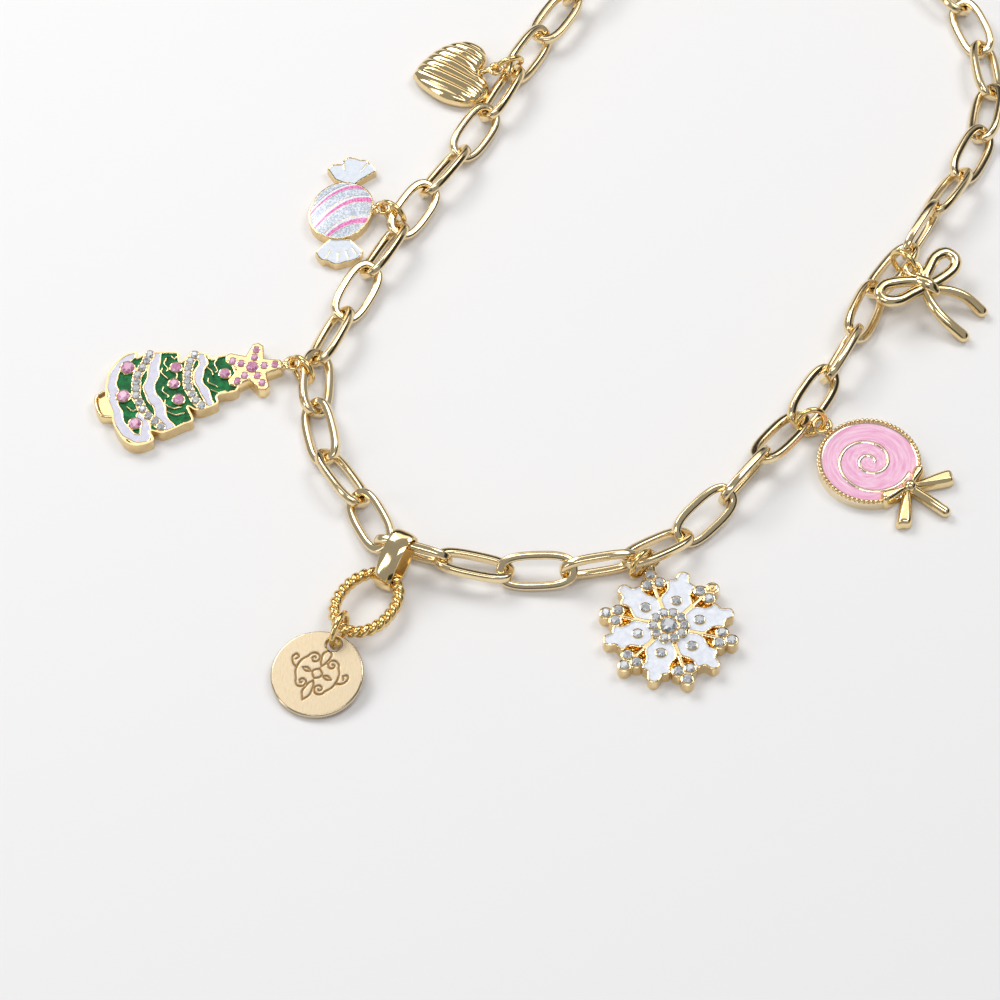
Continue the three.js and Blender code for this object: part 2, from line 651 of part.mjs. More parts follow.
// Half of an arm with its trefoil end, in the same measure.
const ARM_HALF = [
  [3.4, 0.35],
  [6.8, 0.35],
  [8.4, 1.7],
  [8.9, 2.25],
  [10.0, 2.3],
  [10.7, 1.6],
  [12.0, 1.15],
  [12.7, 0.5],
];
const TREFOIL_SEATS = [[9.5, -1.1], [9.5, 1.1], [11.5, 0]];
function snowflake() {
  const bothHalves = (half) =>
    half.map(([out, aside]) => [out, -aside]).concat(half.map(([out, aside]) => [out, aside]).reverse());
  const turned = (points, degrees) =>
    points.map(([x, y]) => {
      const p = new THREE.Vector2(x, y).rotateAround(new THREE.Vector2(), degrees * DEGREE);
      return [p.x, p.y];
    });
  const petal = bothHalves(PETAL_HALF);
  const arm = bothHalves(ARM_HALF);
  const solids = [round(0, 0, 0, FLAKE.thickness, 4.1, 4.1, 12)];
  const cells = [];
  const stones = [];
  for (let i = 0; i < 6; i++) {
    const petalAngle = FLAKE.petalTurn + 60 * i;
    const armAngle = FLAKE.armTurn + 60 * i;
    solids.push(plate(turned(petal, petalAngle), 0, FLAKE.thickness));
    cells.push(
      plate(turned(inset(petal, FLAKE.wall), petalAngle), FLAKE.thickness - FLAKE.cell, FLAKE.thickness + 1),
    );
    solids.push(plate(turned(arm, armAngle), 0, FLAKE.thickness));
    const web = [[4.5, -1.5], [9, -2.6], [9, 2.6], [4.5, 1.5]];
    solids.push(plate(turned(web, armAngle), 0, FLAKE.thickness - 1.1));
    const [bead] = turned([[5.75, 0]], petalAngle);
    stones.push(stone(bead[0], bead[1], 1.5, 0.9, FLAKE.thickness - 1.3));
    turned(TREFOIL_SEATS, armAngle).forEach(([x, y], k) => {
      const missing = i === 0 && k === 2;
      if (!missing) stones.push(stone(x, y, 1.5, 0.85, FLAKE.thickness - 1.15));
      else stones.push(round(x, y, 1.5, FLAKE.thickness + 0.35, 0.7, 0.2, 8));
    });
  }
  for (let i = 0; i < 10; i++) {
    const angle = 36 * i * DEGREE;
    stones.push(stone(2.75 * Math.cos(angle), 2.75 * Math.sin(angle), 1.5, 0.78, FLAKE.thickness - 1));
  }
  stones.push(stone(0, 0, 1.5, 1.5, FLAKE.thickness - 0.6));
  const hangerAngle = 105.5;
  const [neck] = turned([[12.8, 0]], hangerAngle - 3);
  const hanger = [eye(-2.94, 14.38, 2.75, 2.1), round(neck[0], neck[1], 1.7, 3.1, 0.8, 0.8, 8)];
  return join([join(solids).subtract(join(cells)), ...stones, ...hanger]);
}

// Spiral sweet on a stick, with a ribbon bow tied where the stick begins.
const SWEET = { radius: 9.6, base: 2.0, rim: 0.9, rimTop: 2.5, cell: 1.9 };
const SPIRAL = { start: 1, reach: 6.6, turn: 700, power: 1.5, width: 0.45, from: -51 };
function lollipop() {
  const profile = [
    [0, 0],
    [SWEET.radius - 0.4, 0],
    [SWEET.radius, 0.6],
    [SWEET.radius, SWEET.rimTop - 0.4],
    [SWEET.radius - SWEET.rim / 2, SWEET.rimTop],
    [SWEET.radius - SWEET.rim, SWEET.cell],
    [0, SWEET.cell],
  ].map(([x, y]) => new THREE.Vector2(x, y));
  const dish = new THREE.LatheGeometry(profile, 32);
  dish.rotateX(90 * DEGREE);
  const spiral = [];
  const steps = 34;
  for (let i = 0; i <= steps; i++) {
    const turn = (SPIRAL.turn * i) / steps;
    const reach = SPIRAL.start + SPIRAL.reach * (turn / SPIRAL.turn) ** SPIRAL.power;
    const angle = (turn + SPIRAL.from) * DEGREE;
    spiral.push([reach * Math.cos(angle), reach * Math.sin(angle)]);
  }
  const rib = plate(ribbon(spiral, SPIRAL.width), SWEET.cell - 0.3, SWEET.cell + 0.3);
  const stick = rod([[0, -8.6, 1.6], [0, -13, 1.5], [0, -17.9, 1.2]], 1.05, 3, 8);
  const tails = [
    plate([[5.4, -14.2], [6.9, -14.2], [7.7, -12.1], [1.2, -8.9], [0.4, -9.9]], 0.6, 2.2),
    plate([[-0.2, -9.6], [-1.0, -8.6], [-7.7, -11.6], [-7.4, -13.1], [-5.7, -13.8]], 0.6, 2.2),
  ];
  const loops = [
    plate([[0.5, -9.6], [4.3, -9.4], [5.1, -8.4], [3.9, -7.2], [0.9, -8.4]], 0.6, 2.9),
    plate([[-0.9, -8.3], [-4.2, -5.9], [-5.9, -6.8], [-5.4, -8.4], [-0.6, -9.5]], 0.6, 2.9),
  ];
  const knot = round(0, -9.2, 0.5, 3.3, 1.5, 1.0, 10);
  const hanger = [eye(0.9, 11.4, 2.5, 2.3), round(0.7, 9.8, 1.6, 2.8, 0.8, 0.8, 8)];
  return join([solid(dish), rib, stick, ...tails, ...loops, knot, ...hanger]);
}

// Ribbon bow of round wire: two drop-shaped loops, two spreading tails, and a wrapped knot.
const BOW = { wire: 1.7, tail: 1.9, sides: 6 };
function bow() {
  const rightLoop = [
    [0.8, -0.3, 0],
    [3.6, -0.8, 0.1],
    [6.6, -0.4, 0.2],
    [8.1, 1.1, 0.2],
    [7.4, 2.8, 0],
    [5.2, 2.9, -0.1],
    [2.4, 1.4, 0],
  ];
  const leftLoop = [
    [-0.9, -0.1, 0],
    [-4.2, -0.1, 0.1],
    [-7.7, 0.3, 0.2],
    [-9.9, 1.9, 0.2],
    [-9.6, 3.6, 0],
    [-7.0, 3.9, -0.1],
    [-3.0, 1.9, 0],
  ];
  const rightTail = [
    [0.8, -0.8, 0],
    [3.0, -3.2, 0],
    [4.8, -6.4, -0.1],
    [5.7, -10.0, -0.9],
  ];
  const leftTail = [
    [-0.7, -0.9, 0],
    [-2.0, -4.0, 0],
    [-2.1, -8.0, -0.2],
    [-1.1, -12.2, -0.9],
  ];
  const loops = [rightLoop, leftLoop].map((line) => rod(line, BOW.wire / 2, 14, BOW.sides, true));
  const tails = [rightTail, leftTail].map((line) => rod(line, BOW.tail / 2, 6, BOW.sides));
  const knot = rod([[-1.7, 0.1, 0.1], [0, -0.2, 0.35], [1.7, -0.5, 0.1]], 1.35, 3, 8);
  const hanger = [eye(-0.55, 3.7, 0, 2.1, 0.9), rod([[-0.3, 0.8, 0], [-0.4, 2.3, 0]], 0.7, 1, 6)];
  return join([...loops, ...tails, knot, ...hanger]);
}

// Round tag with a bevelled edge, a hole for its ring, and two engraved scrolls.
const TAG = { radius: 8.35, thickness: 1.2, bevel: 0.25, hole: 1.3, holeAt: 6.25 };
// One scroll as points of its line; the other is its mirror image.
const SCROLL = [
  [1.1, 3.9],
  [2.6, 3.2],
  [2.4, 1.4],
  [0.6, 0.2],
  [-1.6, -0.9],
  [-3.3, -2.6],
  [-2.4, -4.3],
  [-0.9, -3.6],
];
function disc() {
  const edge = [
    [0, -TAG.thickness / 2],
    [TAG.radius - TAG.bevel, -TAG.thickness / 2],
    [TAG.radius, TAG.bevel - TAG.thickness / 2],
    [TAG.radius, TAG.thickness / 2 - TAG.bevel],
    [TAG.radius - TAG.bevel, TAG.thickness / 2],
    [0, TAG.thickness / 2],
  ].map(([x, y]) => new THREE.Vector2(x, y));
  const blank = new THREE.LatheGeometry(edge, 32);
  blank.rotateX(90 * DEGREE);
  const hole = round(0, TAG.holeAt, -2, 2, TAG.hole, TAG.hole, 12);
  const groove = (side) =>
    plate(ribbon(smooth(SCROLL, 14).map(([x, y]) => [side * x, y]), 0.5), TAG.thickness / 2 - 0.15, 1);
  const grooves = [groove(1), groove(-1)];
  return join([solid(blank)]).subtract(hole).subtract(join(grooves));
}

const CHARMS = { heart, candy, tree, snowflake, lollipop, bow, disc };

function placedCharms() {
  return Object.entries(CHARM_PLACES).map(([name, place]) => {
    const color = TINTS[name];
    const material = color ? new THREE.MeshStandardMaterial({ color, roughness: 0.3 }) : GOLD;
    const mesh = new THREE.Mesh(geometryOf(CHARMS[name]()), material);
    const downhill = (place.downhill ?? 0) * DEGREE;
    const hinge = new THREE.Vector3(-Math.sin(downhill), Math.cos(downhill), 0);
    mesh.quaternion.setFromAxisAngle(hinge, (place.tilt ?? 0) * DEGREE);
    const turn = new THREE.Quaternion().setFromAxisAngle(UP, (place.heading - 90) * DEGREE);
    mesh.quaternion.multiply(turn);
    mesh.position.set(...place.at);
    mesh.name = name;
    return mesh;
  });
}

// Assembly -------------------------------------------------------------------------------------------

const necklace = new THREE.Group();
necklace.name = "charm_necklace";
necklace.add(...chain(), ...placedRings(), ropeLink(), bail(), ...placedCharms());
necklace.updateMatrixWorld(true);
const box = new THREE.Box3().setFromObject(necklace, true);
necklace.position.set(-(box.min.x + box.max.x) / 2, -(box.min.y + box.max.y) / 2, -box.min.z);

export default necklace;
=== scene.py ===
"""Charm necklace lying on a pale table: an oval-link chain, jump rings, and seven charms in gold and enamel.

Lengths are millimetres until a mesh is made, when they become metres. Each section makes one kind of piece.
"""

import math

import bpy
import numpy as np
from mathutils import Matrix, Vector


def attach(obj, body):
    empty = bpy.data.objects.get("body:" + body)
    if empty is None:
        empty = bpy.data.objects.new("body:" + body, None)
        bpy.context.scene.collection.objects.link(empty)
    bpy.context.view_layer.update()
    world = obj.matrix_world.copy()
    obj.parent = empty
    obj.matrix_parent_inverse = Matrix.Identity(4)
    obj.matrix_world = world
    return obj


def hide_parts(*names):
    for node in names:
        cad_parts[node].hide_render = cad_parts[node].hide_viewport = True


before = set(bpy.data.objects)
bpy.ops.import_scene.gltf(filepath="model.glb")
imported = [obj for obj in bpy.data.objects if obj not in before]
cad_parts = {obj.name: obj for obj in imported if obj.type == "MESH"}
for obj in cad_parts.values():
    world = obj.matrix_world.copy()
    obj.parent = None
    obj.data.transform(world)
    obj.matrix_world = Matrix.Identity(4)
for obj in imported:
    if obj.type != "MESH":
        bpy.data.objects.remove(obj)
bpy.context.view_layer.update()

# Table, camera and light ----------------------------------
# The table is a matt white sweep. A high camera looks down on the loop, and soft boxes stand over it. Dark
# cards draw the dark lines that polished gold needs, and a dim white card overhead lights its level faces.

MM = 0.001
LOOP_START = np.array([-11.998, -49.663, 0.0])
CAMERA = {"height_angle": 55, "distance": 684.3, "lens": 134.28, "nearest": 10}
TABLE = {"half": 1500, "white": "F1EFED", "roughness": 0.9, "shine": 0.1}
DAYLIGHT = {"colour": "E9ECF2", "strength": 0.42}
# One row per soft box: place, width and height in mm, and power in watts. All face the middle of the part.
SOFT_BOXES = [
    ((-420, 420, 640), 520, 420, 3.7),
    ((420, 260, 760), 300, 420, 1.9),
    ((-40, -420, 900), 620, 200, 1.7),
    ((-650, -260, 330), 140, 420, 0.6),
]
# One row per dark card: centre, turn about the vertical in degrees, width and height in mm.
DARK_CARDS = [
    ((0, 620, 330), 0, 900, 300),
    ((560, -120, 260), 90, 700, 320),
    ((-250, -760, 300), 0, 500, 240),
]
# The white card: its centre, and the two half sides that span it.
WHITE_CARD = [(0, 475, 650), (420, 0, 0), (0, -145, 50)]


def linear(colour):
    """sRGB hex to linear RGBA: ((c + 0.055) / 1.055) ^ 2.4 for each channel, or c / 12.92 when dark."""
    channels = [int(colour[i : i + 2], 16) / 255 for i in (0, 2, 4)]
    return tuple(c / 12.92 if c <= 0.04045 else ((c + 0.055) / 1.055) ** 2.4 for c in channels) + (1.0,)


def feed(tree, node, links):
    """Feed a node's inputs, each from a socket or from the first output of another node."""
    for name, source in links.items():
        tree.links.new(getattr(source, "outputs", [source])[0], node.inputs[name])


def add_node(tree, kind, settings=None, links=None):
    """Add one shader node; settings fill its inputs or properties, and links feed its inputs."""
    node = tree.nodes.new(f"ShaderNode{kind}")
    for name, value in (settings or {}).items():
        if isinstance(name, int) or name in node.inputs:
            node.inputs[name].default_value = value
        else:
            setattr(node, name, value)
    feed(tree, node, links or {})
    return node


def new_material(name, **values):
    """A material whose Principled shader takes the given values, and its node tree and shader."""
    material = bpy.data.materials.new(name)
    material.use_nodes = True
    shader = material.node_tree.nodes["Principled BSDF"]
    for socket, value in values.items():
        shader.inputs[socket.replace("_", " ")].default_value = value
    return material, material.node_tree, shader


def add_object(name, data):
    """Put a new object in the scene."""
    made = bpy.data.objects.new(name, data)
    bpy.context.scene.collection.objects.link(made)
    return made


def panel(name, centre, across, up, material):
    """A flat panel of the studio in mm: its centre, and the two half sides that span it."""
    corners = [np.array(centre) + a * across + b * up for a, b in ((-1, -1), (1, -1), (1, 1), (-1, 1))]
    mesh = bpy.data.meshes.new(name)
    mesh.from_pydata([tuple(corner * MM) for corner in corners], [], [(0, 1, 2, 3)])
    mesh.materials.append(material)
    made = add_object(name, mesh)
    return made


def card(*shape):
    """A panel that shows only in reflections."""
    made = panel(*shape)
    made.visible_camera = made.visible_diffuse = made.visible_shadow = False


def cos_sin(degrees):
    """Cosine and sine of an angle in degrees."""
    return math.cos(math.radians(degrees)), math.sin(math.radians(degrees))


height_angle = math.radians(CAMERA["height_angle"])
toward_camera = np.array([0, -math.cos(height_angle), math.sin(height_angle)])
camera = add_object("camera", bpy.data.cameras.new("camera"))
camera.data.lens = CAMERA["lens"]
camera.data.clip_start = CAMERA["nearest"] * MM
camera.location = (LOOP_START + CAMERA["distance"] * toward_camera) * MM
camera.rotation_euler = (math.pi / 2 - height_angle, 0, 0)
bpy.context.scene.camera = camera

# Matt white paper: a soft even ground that takes faint shadows.
white = {"Base_Color": linear(TABLE["white"]), "Specular_IOR_Level": TABLE["shine"]}
paper = new_material("matt_white_paper", Roughness=TABLE["roughness"], **white)[0]
panel("table", (0, 0, 0), np.array([TABLE["half"], 0, 0]), np.array([0, TABLE["half"], 0]), paper)

for number, (place, width, height, power) in enumerate(SOFT_BOXES):
    lamp = bpy.data.lights.new(f"soft_box_{number}", "AREA")
    lamp.shape = "RECTANGLE"
    lamp.size = width * MM
    lamp.size_y = height * MM
    lamp.energy = power
    box = add_object(lamp.name, lamp)
    box.location = np.array(place) * MM
    box.rotation_euler = Vector(-np.array(place, float)).to_track_quat("-Z", "Y").to_euler()

world = bpy.data.worlds.new("studio")
world.use_nodes = True
sky = world.node_tree.nodes["Background"]
sky.inputs["Color"].default_value = linear(DAYLIGHT["colour"])
sky.inputs["Strength"].default_value = DAYLIGHT["strength"]
bpy.context.scene.world = world
bpy.context.scene.view_settings.view_transform = "Standard"

# Black card gives the dark lines in the gold, and glowing white card its pale level faces.
black_card = new_material("black_card", Roughness=0.8, Base_Color=linear("1A1512"))[0]
glow = {"Emission_Color": linear("FFF8EE"), "Emission_Strength": 0.95}
white_card = new_material("white_card", Roughness=0.8, **glow)[0]
for number, (place, turn, width, height) in enumerate(DARK_CARDS):
    across = np.array([*cos_sin(turn), 0]) * width / 2
    card(f"dark_card_{number}", place, across, np.array([0, 0, height / 2]), black_card)
card("white_card", *(np.array(row) for row in WHITE_CARD), white_card)

# Chain links ----------------------------------------------
# Long oval links of squared wire, rolled flat on their faces, soldered shut and plated in pale gold. Each
# hangs in the next, and they lie at many leans, so their faces catch the light in turn.

LINK = {"length": 14.8, "width": 7.2, "wall": 1.6, "power": 2.8, "steps": 88, "corner": 3.4, "wire_steps": 24}
GRAIN = 1 / (0.45 * MM)


def gold_plate(name, colour, deep, roughness, grain=GRAIN, ripple=0.02):
    """Gold plate: a metal whose roughness and colour drift with the plating's grain, over polishing waves."""
    material, tree, shader = new_material(name, Metallic=1.0)
    place = add_node(tree, "TexCoord").outputs["Object"]
    clouds = add_node(tree, "TexNoise", {"Scale": grain, "Detail": 4.0}, {"Vector": place})
    spread = {"From Min": 0.3, "From Max": 0.7, "To Min": roughness * 0.7, "To Max": roughness * 1.35}
    rough = add_node(tree, "MapRange", spread, {"Value": clouds})
    tint = add_node(tree, "MixRGB", {"Color1": linear(colour), "Color2": linear(deep)}, {"Fac": clouds})
    waves = add_node(tree, "TexNoise", {"Scale": grain * 0.35, "Detail": 2.0}, {"Vector": place})
    bump = add_node(tree, "Bump", {"Strength": 0.35, "Distance": ripple * MM}, {"Height": waves})
    feed(tree, shader, {"Base Color": tint, "Roughness": rough, "Normal": bump})
    return material


def node_corners(name):
    """The corners of a CAD node in mm."""
    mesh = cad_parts[name].data
    corners = np.empty(len(mesh.vertices) * 3)
    mesh.vertices.foreach_get("co", corners)
    return corners.reshape(-1, 3) / MM


def node_axes(name):
    """Middle of a CAD node and its main directions, longest first: eigenvectors of its corners' spread."""
    corners = node_corners(name)
    middle = corners.mean(axis=0)
    _, directions = np.linalg.eigh(np.cov((corners - middle).T))
    along, side = directions[:, 2], directions[:, 1]
    return middle, np.stack([along, side, np.cross(along, side)])


def around(count):
    """Angles evenly spaced round a full turn."""
    return np.linspace(0, 2 * math.pi, count, endpoint=False)


def rounded_oval(angles, length, width, power):
    """Points and outward directions of |x / a|^p + |y / b|^p = 1 at the given angles."""
    cosine, sine = np.cos(angles), np.sin(angles)
    signs, sizes = np.stack([np.sign(cosine), np.sign(sine)], 1), np.stack([np.abs(cosine), np.abs(sine)], 1)
    points = np.array([length, width]) / 2 * signs * sizes ** (2 / power)
    outward = signs * sizes ** (2 - 2 / power) / np.array([length, width])
    return points, outward / np.linalg.norm(outward, axis=1, keepdims=True)


def evenly(line, values, count):
    """Values given at the points of a line, read off at even steps along its summed sides."""
    run = np.concatenate([[0], np.cumsum(np.linalg.norm(np.diff(line, axis=0), axis=1))])
    return np.interp(np.arange(count) * run[-1] / count, run, values)


def even_oval(count, *shape):
    """The same oval, of a length, width and power, with its points at even steps along it."""
    fine = np.linspace(0, 2 * math.pi, 2000)
    return rounded_oval(evenly(rounded_oval(fine, *shape)[0], fine, count), *shape)


def middle_line(form):
    """The oval down the middle of a wire or wall: its outer length and width, each less one wall."""
    wall = form["wall"]
    return even_oval(form["steps"], form["length"] - wall, form["width"] - wall, form["power"])


def grid_faces(rows, columns, wrap_rows=True, wrap_columns=True):
    """Four-sided faces between neighbours of a grid of points, joined round either way where it wraps."""
    r = np.arange(rows if wrap_rows else rows - 1)[:, None]
    c = np.arange(columns if wrap_columns else columns - 1)[None, :]
    r_next, c_next = (r + 1) % rows, (c + 1) % columns
    corners = [r * columns + c, r * columns + c_next, r_next * columns + c_next, r_next * columns + c]
    return np.stack(corners, -1).reshape(-1, 4).tolist()


def facing_out(points, faces):
    """Faces in the order that makes the closed body's volume, the sum of its fans' volumes, positive."""
    volume = 0.0
    for size in {len(f) for f in faces}:
        same = points[np.array([f for f in faces if len(f) == size])]
        for k in range(1, size - 1):
            volume += np.einsum("ij,ij->", same[:, 0], np.cross(same[:, k], same[:, k + 1]))
    return faces if volume > 0 else [f[::-1] for f in faces]


def hoop(middle, axes, loop, section, width=1.0):
    """A closed section carried round a loop that lies on the first two axes: for each (u, v), the point is
    centre + u * outward + v * width * third axis, and the width may change round the loop."""
    centres, outward = (part @ axes[:2] for part in loop)
    flat = (middle + centres)[:, None] + section[:, :1] * outward[:, None]
    points = (flat + section[:, 1:] * np.reshape(width, (-1, 1, 1)) * axes[2]).reshape(-1, 3)
    return points, facing_out(points, grid_faces(len(centres), len(section)))


def gather(bodies):
    """Several (points, faces) bodies as one."""
    faces, first = [], 0
    for some_points, some_faces in bodies:
        faces += [[i + first for i in face] for face in some_faces]
        first += len(some_points)
    return np.concatenate([some_points for some_points, _ in bodies]), faces


def piece(name, body, material, nodes=(), sharp=40, layers=None):
    """One finished piece in place: its mesh in metres with its layers, one value to each corner or face, its
    material, and the CAD nodes it stands for. Edges sharper than the angle in degrees stay crisp."""
    points, faces = body
    mesh = bpy.data.meshes.new(name)
    mesh.from_pydata((np.asarray(points) * MM).tolist(), [], faces)
    mesh.shade_smooth()
    mesh.set_sharp_from_angle(angle=math.radians(sharp))
    for layer, values in (layers or {}).items():
        kind, field = ("FLOAT", "value") if np.ndim(values) == 1 else ("FLOAT_VECTOR", "vector")
        made = mesh.attributes.new(layer, kind, "POINT" if len(values) == len(points) else "FACE")
        made.data.foreach_set(field, np.asarray(values, np.float32).ravel())
    mesh.materials.append(material)
    mesh.validate()
    made = add_object(name, mesh)
    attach(made, "root")
    if nodes:
        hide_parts(*nodes)


CHAIN_GOLD = gold_plate("polished_pale_gold_plate", "F5E2BA", "ECD29F", 0.12)
link_loop = middle_line(LINK)
wire_section, _ = even_oval(LINK["wire_steps"], LINK["wall"], LINK["wall"], LINK["corner"])
for name in sorted(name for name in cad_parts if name.startswith("link_")):
    link = hoop(*node_axes(name), link_loop, wire_section)
    piece(f"{name}_wire", link, CHAIN_GOLD, [name])

# Jump rings -----------------------------------------------
# Round wire cut from a coil and closed with pliers: one ring for each charm and one for the clasp. The cut
# stays as a hairline across the wire.

# Outer diameter and wire of each kind of ring.
RING_SIZES = {"ring_disc": (7.4, 1.15), "clasp_ring": (7.0, 1.1)}
CHARM_RING = (6.4, 1.1)
RING_STEPS = 72
RING_CUT = {"step": 40, "depth": 0.06}
RING_GOLD = gold_plate("polished_gold_wire", "F4DA9E", "E8C376", 0.1)

for name in sorted(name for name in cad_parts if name.startswith("ring_")) + ["clasp_ring"]:
    outer, wire = RING_SIZES.get(name, CHARM_RING)
    ring_loop = rounded_oval(around(RING_STEPS), outer - wire, outer - wire, 2)
    ring_loop[1][RING_CUT["step"]] *= 1 - RING_CUT["depth"] / wire * 2
    round_section, _ = rounded_oval(around(16), wire, wire, 2)
    ring = hoop(*node_axes(name), ring_loop, round_section)
    piece(f"{name}_wire", ring, RING_GOLD, [name])

# Clasp ----------------------------------------------------
# A lobster clasp cast in one piece and polished: an eye for the last link, and a long claw that holds the
# clasp ring. Its edges are rounded by tumbling.

CLASP = {"thickness": 1.8, "rim": 1.4, "neck": 0.9, "eye": 3.5, "claw": 3.8, "edge": 0.45}
CAST_GOLD = gold_plate("polished_cast_gold", "F6E1B2", "EACD93", 0.09)


def arc(centre_x, radius, start, end, count=24):
    """Points on a circle about (centre_x, 0) from one angle to the other, in degrees."""
    angles = np.radians(np.linspace(start, end, count))
    return np.stack([centre_x + radius * np.cos(angles), radius * np.sin(angles)], 1)


def cut_plate(outline, holes, thickness, edge):
    """A plate with holes and rounded edges about height 0: a filled flat curve turned into a mesh."""
    curve = bpy.data.curves.new("plate_outline", "CURVE")
    curve.dimensions = "2D"
    curve.fill_mode = "BOTH"
    curve.extrude = thickness / 2 - edge
    curve.bevel_depth = edge
    curve.bevel_resolution = 3
    curve.offset = -edge
    for loop in [outline, *holes]:
        spline = curve.splines.new("POLY")
        spline.points.add(len(loop) - 1)
        spline.points.foreach_set("co", np.pad(loop, ((0, 0), (0, 2))).ravel())
        spline.use_cyclic_u = True
    holder = add_object("plate_outline", curve)
    mesh = holder.to_mesh()
    points = np.array([v.co for v in mesh.vertices])
    faces = [list(polygon.vertices) for polygon in mesh.polygons]
    holder.to_mesh_clear()
    bpy.data.objects.remove(holder)
    bpy.data.curves.remove(curve)
    return points, faces


middle, axes = node_axes("clasp")
if axes[0] @ (node_axes("link_34")[0] - node_axes("clasp_ring")[0]) < 0:
    axes[:2] *= -1
reach = (node_corners("clasp") - middle) @ axes[0]
inner = reach.max() - reach.min() - 2 * CLASP["rim"]
centre = middle + axes[0] * (reach.max() + reach.min()) / 2
eye_x = inner / 2 - CLASP["eye"] / 2
claw_x = -inner / 2 + CLASP["claw"] / 2
neck_x = eye_x - CLASP["eye"] / 2 - CLASP["rim"] - CLASP["neck"]
eye_end = arc(eye_x, CLASP["eye"] / 2 + CLASP["rim"], -80, 80)
claw_end = arc(claw_x, CLASP["claw"] / 2 + CLASP["rim"], 80, 280)
eye_hole = arc(eye_x, CLASP["eye"] / 2, 0, 352)
claw_hole = np.concatenate([arc(claw_x, CLASP["claw"] / 2, 280, 80), arc(neck_x, CLASP["neck"], 80, -80)])
outline = np.concatenate([eye_end, claw_end])
points, faces = cut_plate(outline, [eye_hole, claw_hole], CLASP["thickness"], CLASP["edge"])
piece("lobster_clasp", (centre + points @ axes, faces), CAST_GOLD, ["clasp"])

# Bail -----------------------------------------------------
# A wide band folded round a link's bar and brazed into a tall hoop, narrower at its foot. Its outside is
# domed and polished like a mirror, and it carries the twisted link.

BAIL = {"length": 11.4, "width": 5.8, "wall": 0.9, "power": 2.3, "steps": 120, "top": 4.1, "foot": 3.6}
# How far the band's outside falls away at its edges, how far it bows, and how much narrower its inside is.
BAIL_FACE = {"dome": 0.28, "bow": 0.06, "inside": 0.96, "steps": 13}

middle, (down, through_link, across) = node_axes("bail")
axes = np.stack([down, across, through_link])
if down[2] > 0:
    axes[:2] *= -1
local = (node_corners("bail") - middle) @ axes.T
middle = middle + (local.max(0) + local.min(0)) / 2 @ axes
band_loop = middle_line(BAIL)
band_width = np.interp(band_loop[0][:, 0] / BAIL["length"] + 0.5, [0, 1], [BAIL["top"], BAIL["foot"]])
face = np.linspace(-1, 1, BAIL_FACE["steps"])
outer_height = BAIL["wall"] / 2 - BAIL_FACE["dome"] * face**4 - BAIL_FACE["bow"] * face**2
outer_face = np.stack([outer_height, face / 2], 1)
inner_face = np.stack([np.full(len(face), -BAIL["wall"] / 2), face / 2 * BAIL_FACE["inside"]], 1)[::-1]
bail = hoop(middle, axes, band_loop, np.concatenate([outer_face, inner_face]), band_width)
piece("folded_bail", bail, CAST_GOLD, ["bail"], sharp=50)

# Twisted link ---------------------------------------------
# Two wires twisted hard together and bent into an oval that carries the tag. The twist gives a ridge every
# millimetre and a half, bright on its crown and deep orange in its valleys.

ROPE = {"length": 16.4, "width": 12.2, "wall": 2.3, "power": 2.1, "ridges": 23, "strand": 1.3}
ROPE["steps"] = 16 * ROPE["ridges"]
ROPE_GOLD = gold_plate("twisted_gold_wire", "F6DCA0", "E8BC6A", 0.12)
# Where the rings of a tube's round end stand, in degrees from its side.
END_RINGS = [90, 67, 45, 22]


def tube(path, radius, sides=12, closed=False, up=(0, 0, 1), wide=1.0):
    """A round section carried along a path: point + radius * (wide * cos * side + sin * top). The side is
    square to up, the radius may change along the path, and an open tube ends in two half balls."""
    path = np.asarray(path, float)
    radius = np.broadcast_to(np.asarray(radius, float), len(path))
    tangent = np.roll(path, -1, axis=0) - np.roll(path, 1, axis=0) if closed else np.gradient(path, axis=0)
    tangent /= np.linalg.norm(tangent, axis=1, keepdims=True)
    if not closed:
        lift = np.radians(END_RINGS)
        front = path[:1] - np.outer(np.sin(lift), tangent[0]) * radius[0]
        back = path[-1:] + np.outer(np.sin(lift[::-1]), tangent[-1]) * radius[-1]
        path = np.concatenate([front, path, back])
        shrink = np.maximum(np.cos(lift), 0.02)
        radius = np.concatenate([radius[0] * shrink, radius, radius[-1] * shrink[::-1]])
        tangent = np.pad(tangent, ((len(lift), len(lift)), (0, 0)), "edge")
    side = np.cross(up, tangent)
    side /= np.linalg.norm(side, axis=1, keepdims=True)
    top = np.cross(tangent, side)
    turn = around(sides)[None, :, None]
    spokes = wide * np.cos(turn) * side[:, None] + np.sin(turn) * top[:, None]
    points = (path[:, None] + radius[:, None, None] * spokes).reshape(-1, 3)
    faces = grid_faces(len(path), sides, wrap_rows=closed)
    if not closed:
        last = (len(path) - 1) * sides
        faces += [list(range(sides))[::-1], list(range(last, last + sides))]
    return points, facing_out(points, faces)


middle, axes = node_axes("rope_link")
# An odd number of ridges makes the two strands one wire, which runs round the oval twice.
centres, outward = (np.tile(part @ axes[:2], (2, 1)) for part in middle_line(ROPE))
twist = (np.arange(len(centres)) * math.pi * ROPE["ridges"] / ROPE["steps"])[:, None]
spokes = np.cos(twist) * outward + np.sin(twist) * axes[2]
strand = middle + centres + (ROPE["wall"] - ROPE["strand"]) / 2 * spokes
twisted = tube(strand, ROPE["strand"] / 2, 14, True, axes[2])
piece("twisted_link", twisted, ROPE_GOLD, ["rope_link"])

# Round tag ------------------------------------------------
# A disc stamped from sheet, brushed to a satin face inside a polished bevelled rim, and engraved with curls
# and leaves that mirror each other. It hangs by a drilled hole.

TAG = {"radius": 8.35, "thickness": 1.2, "bevel": 0.3, "hole": 1.3, "hole_at": 6.25}
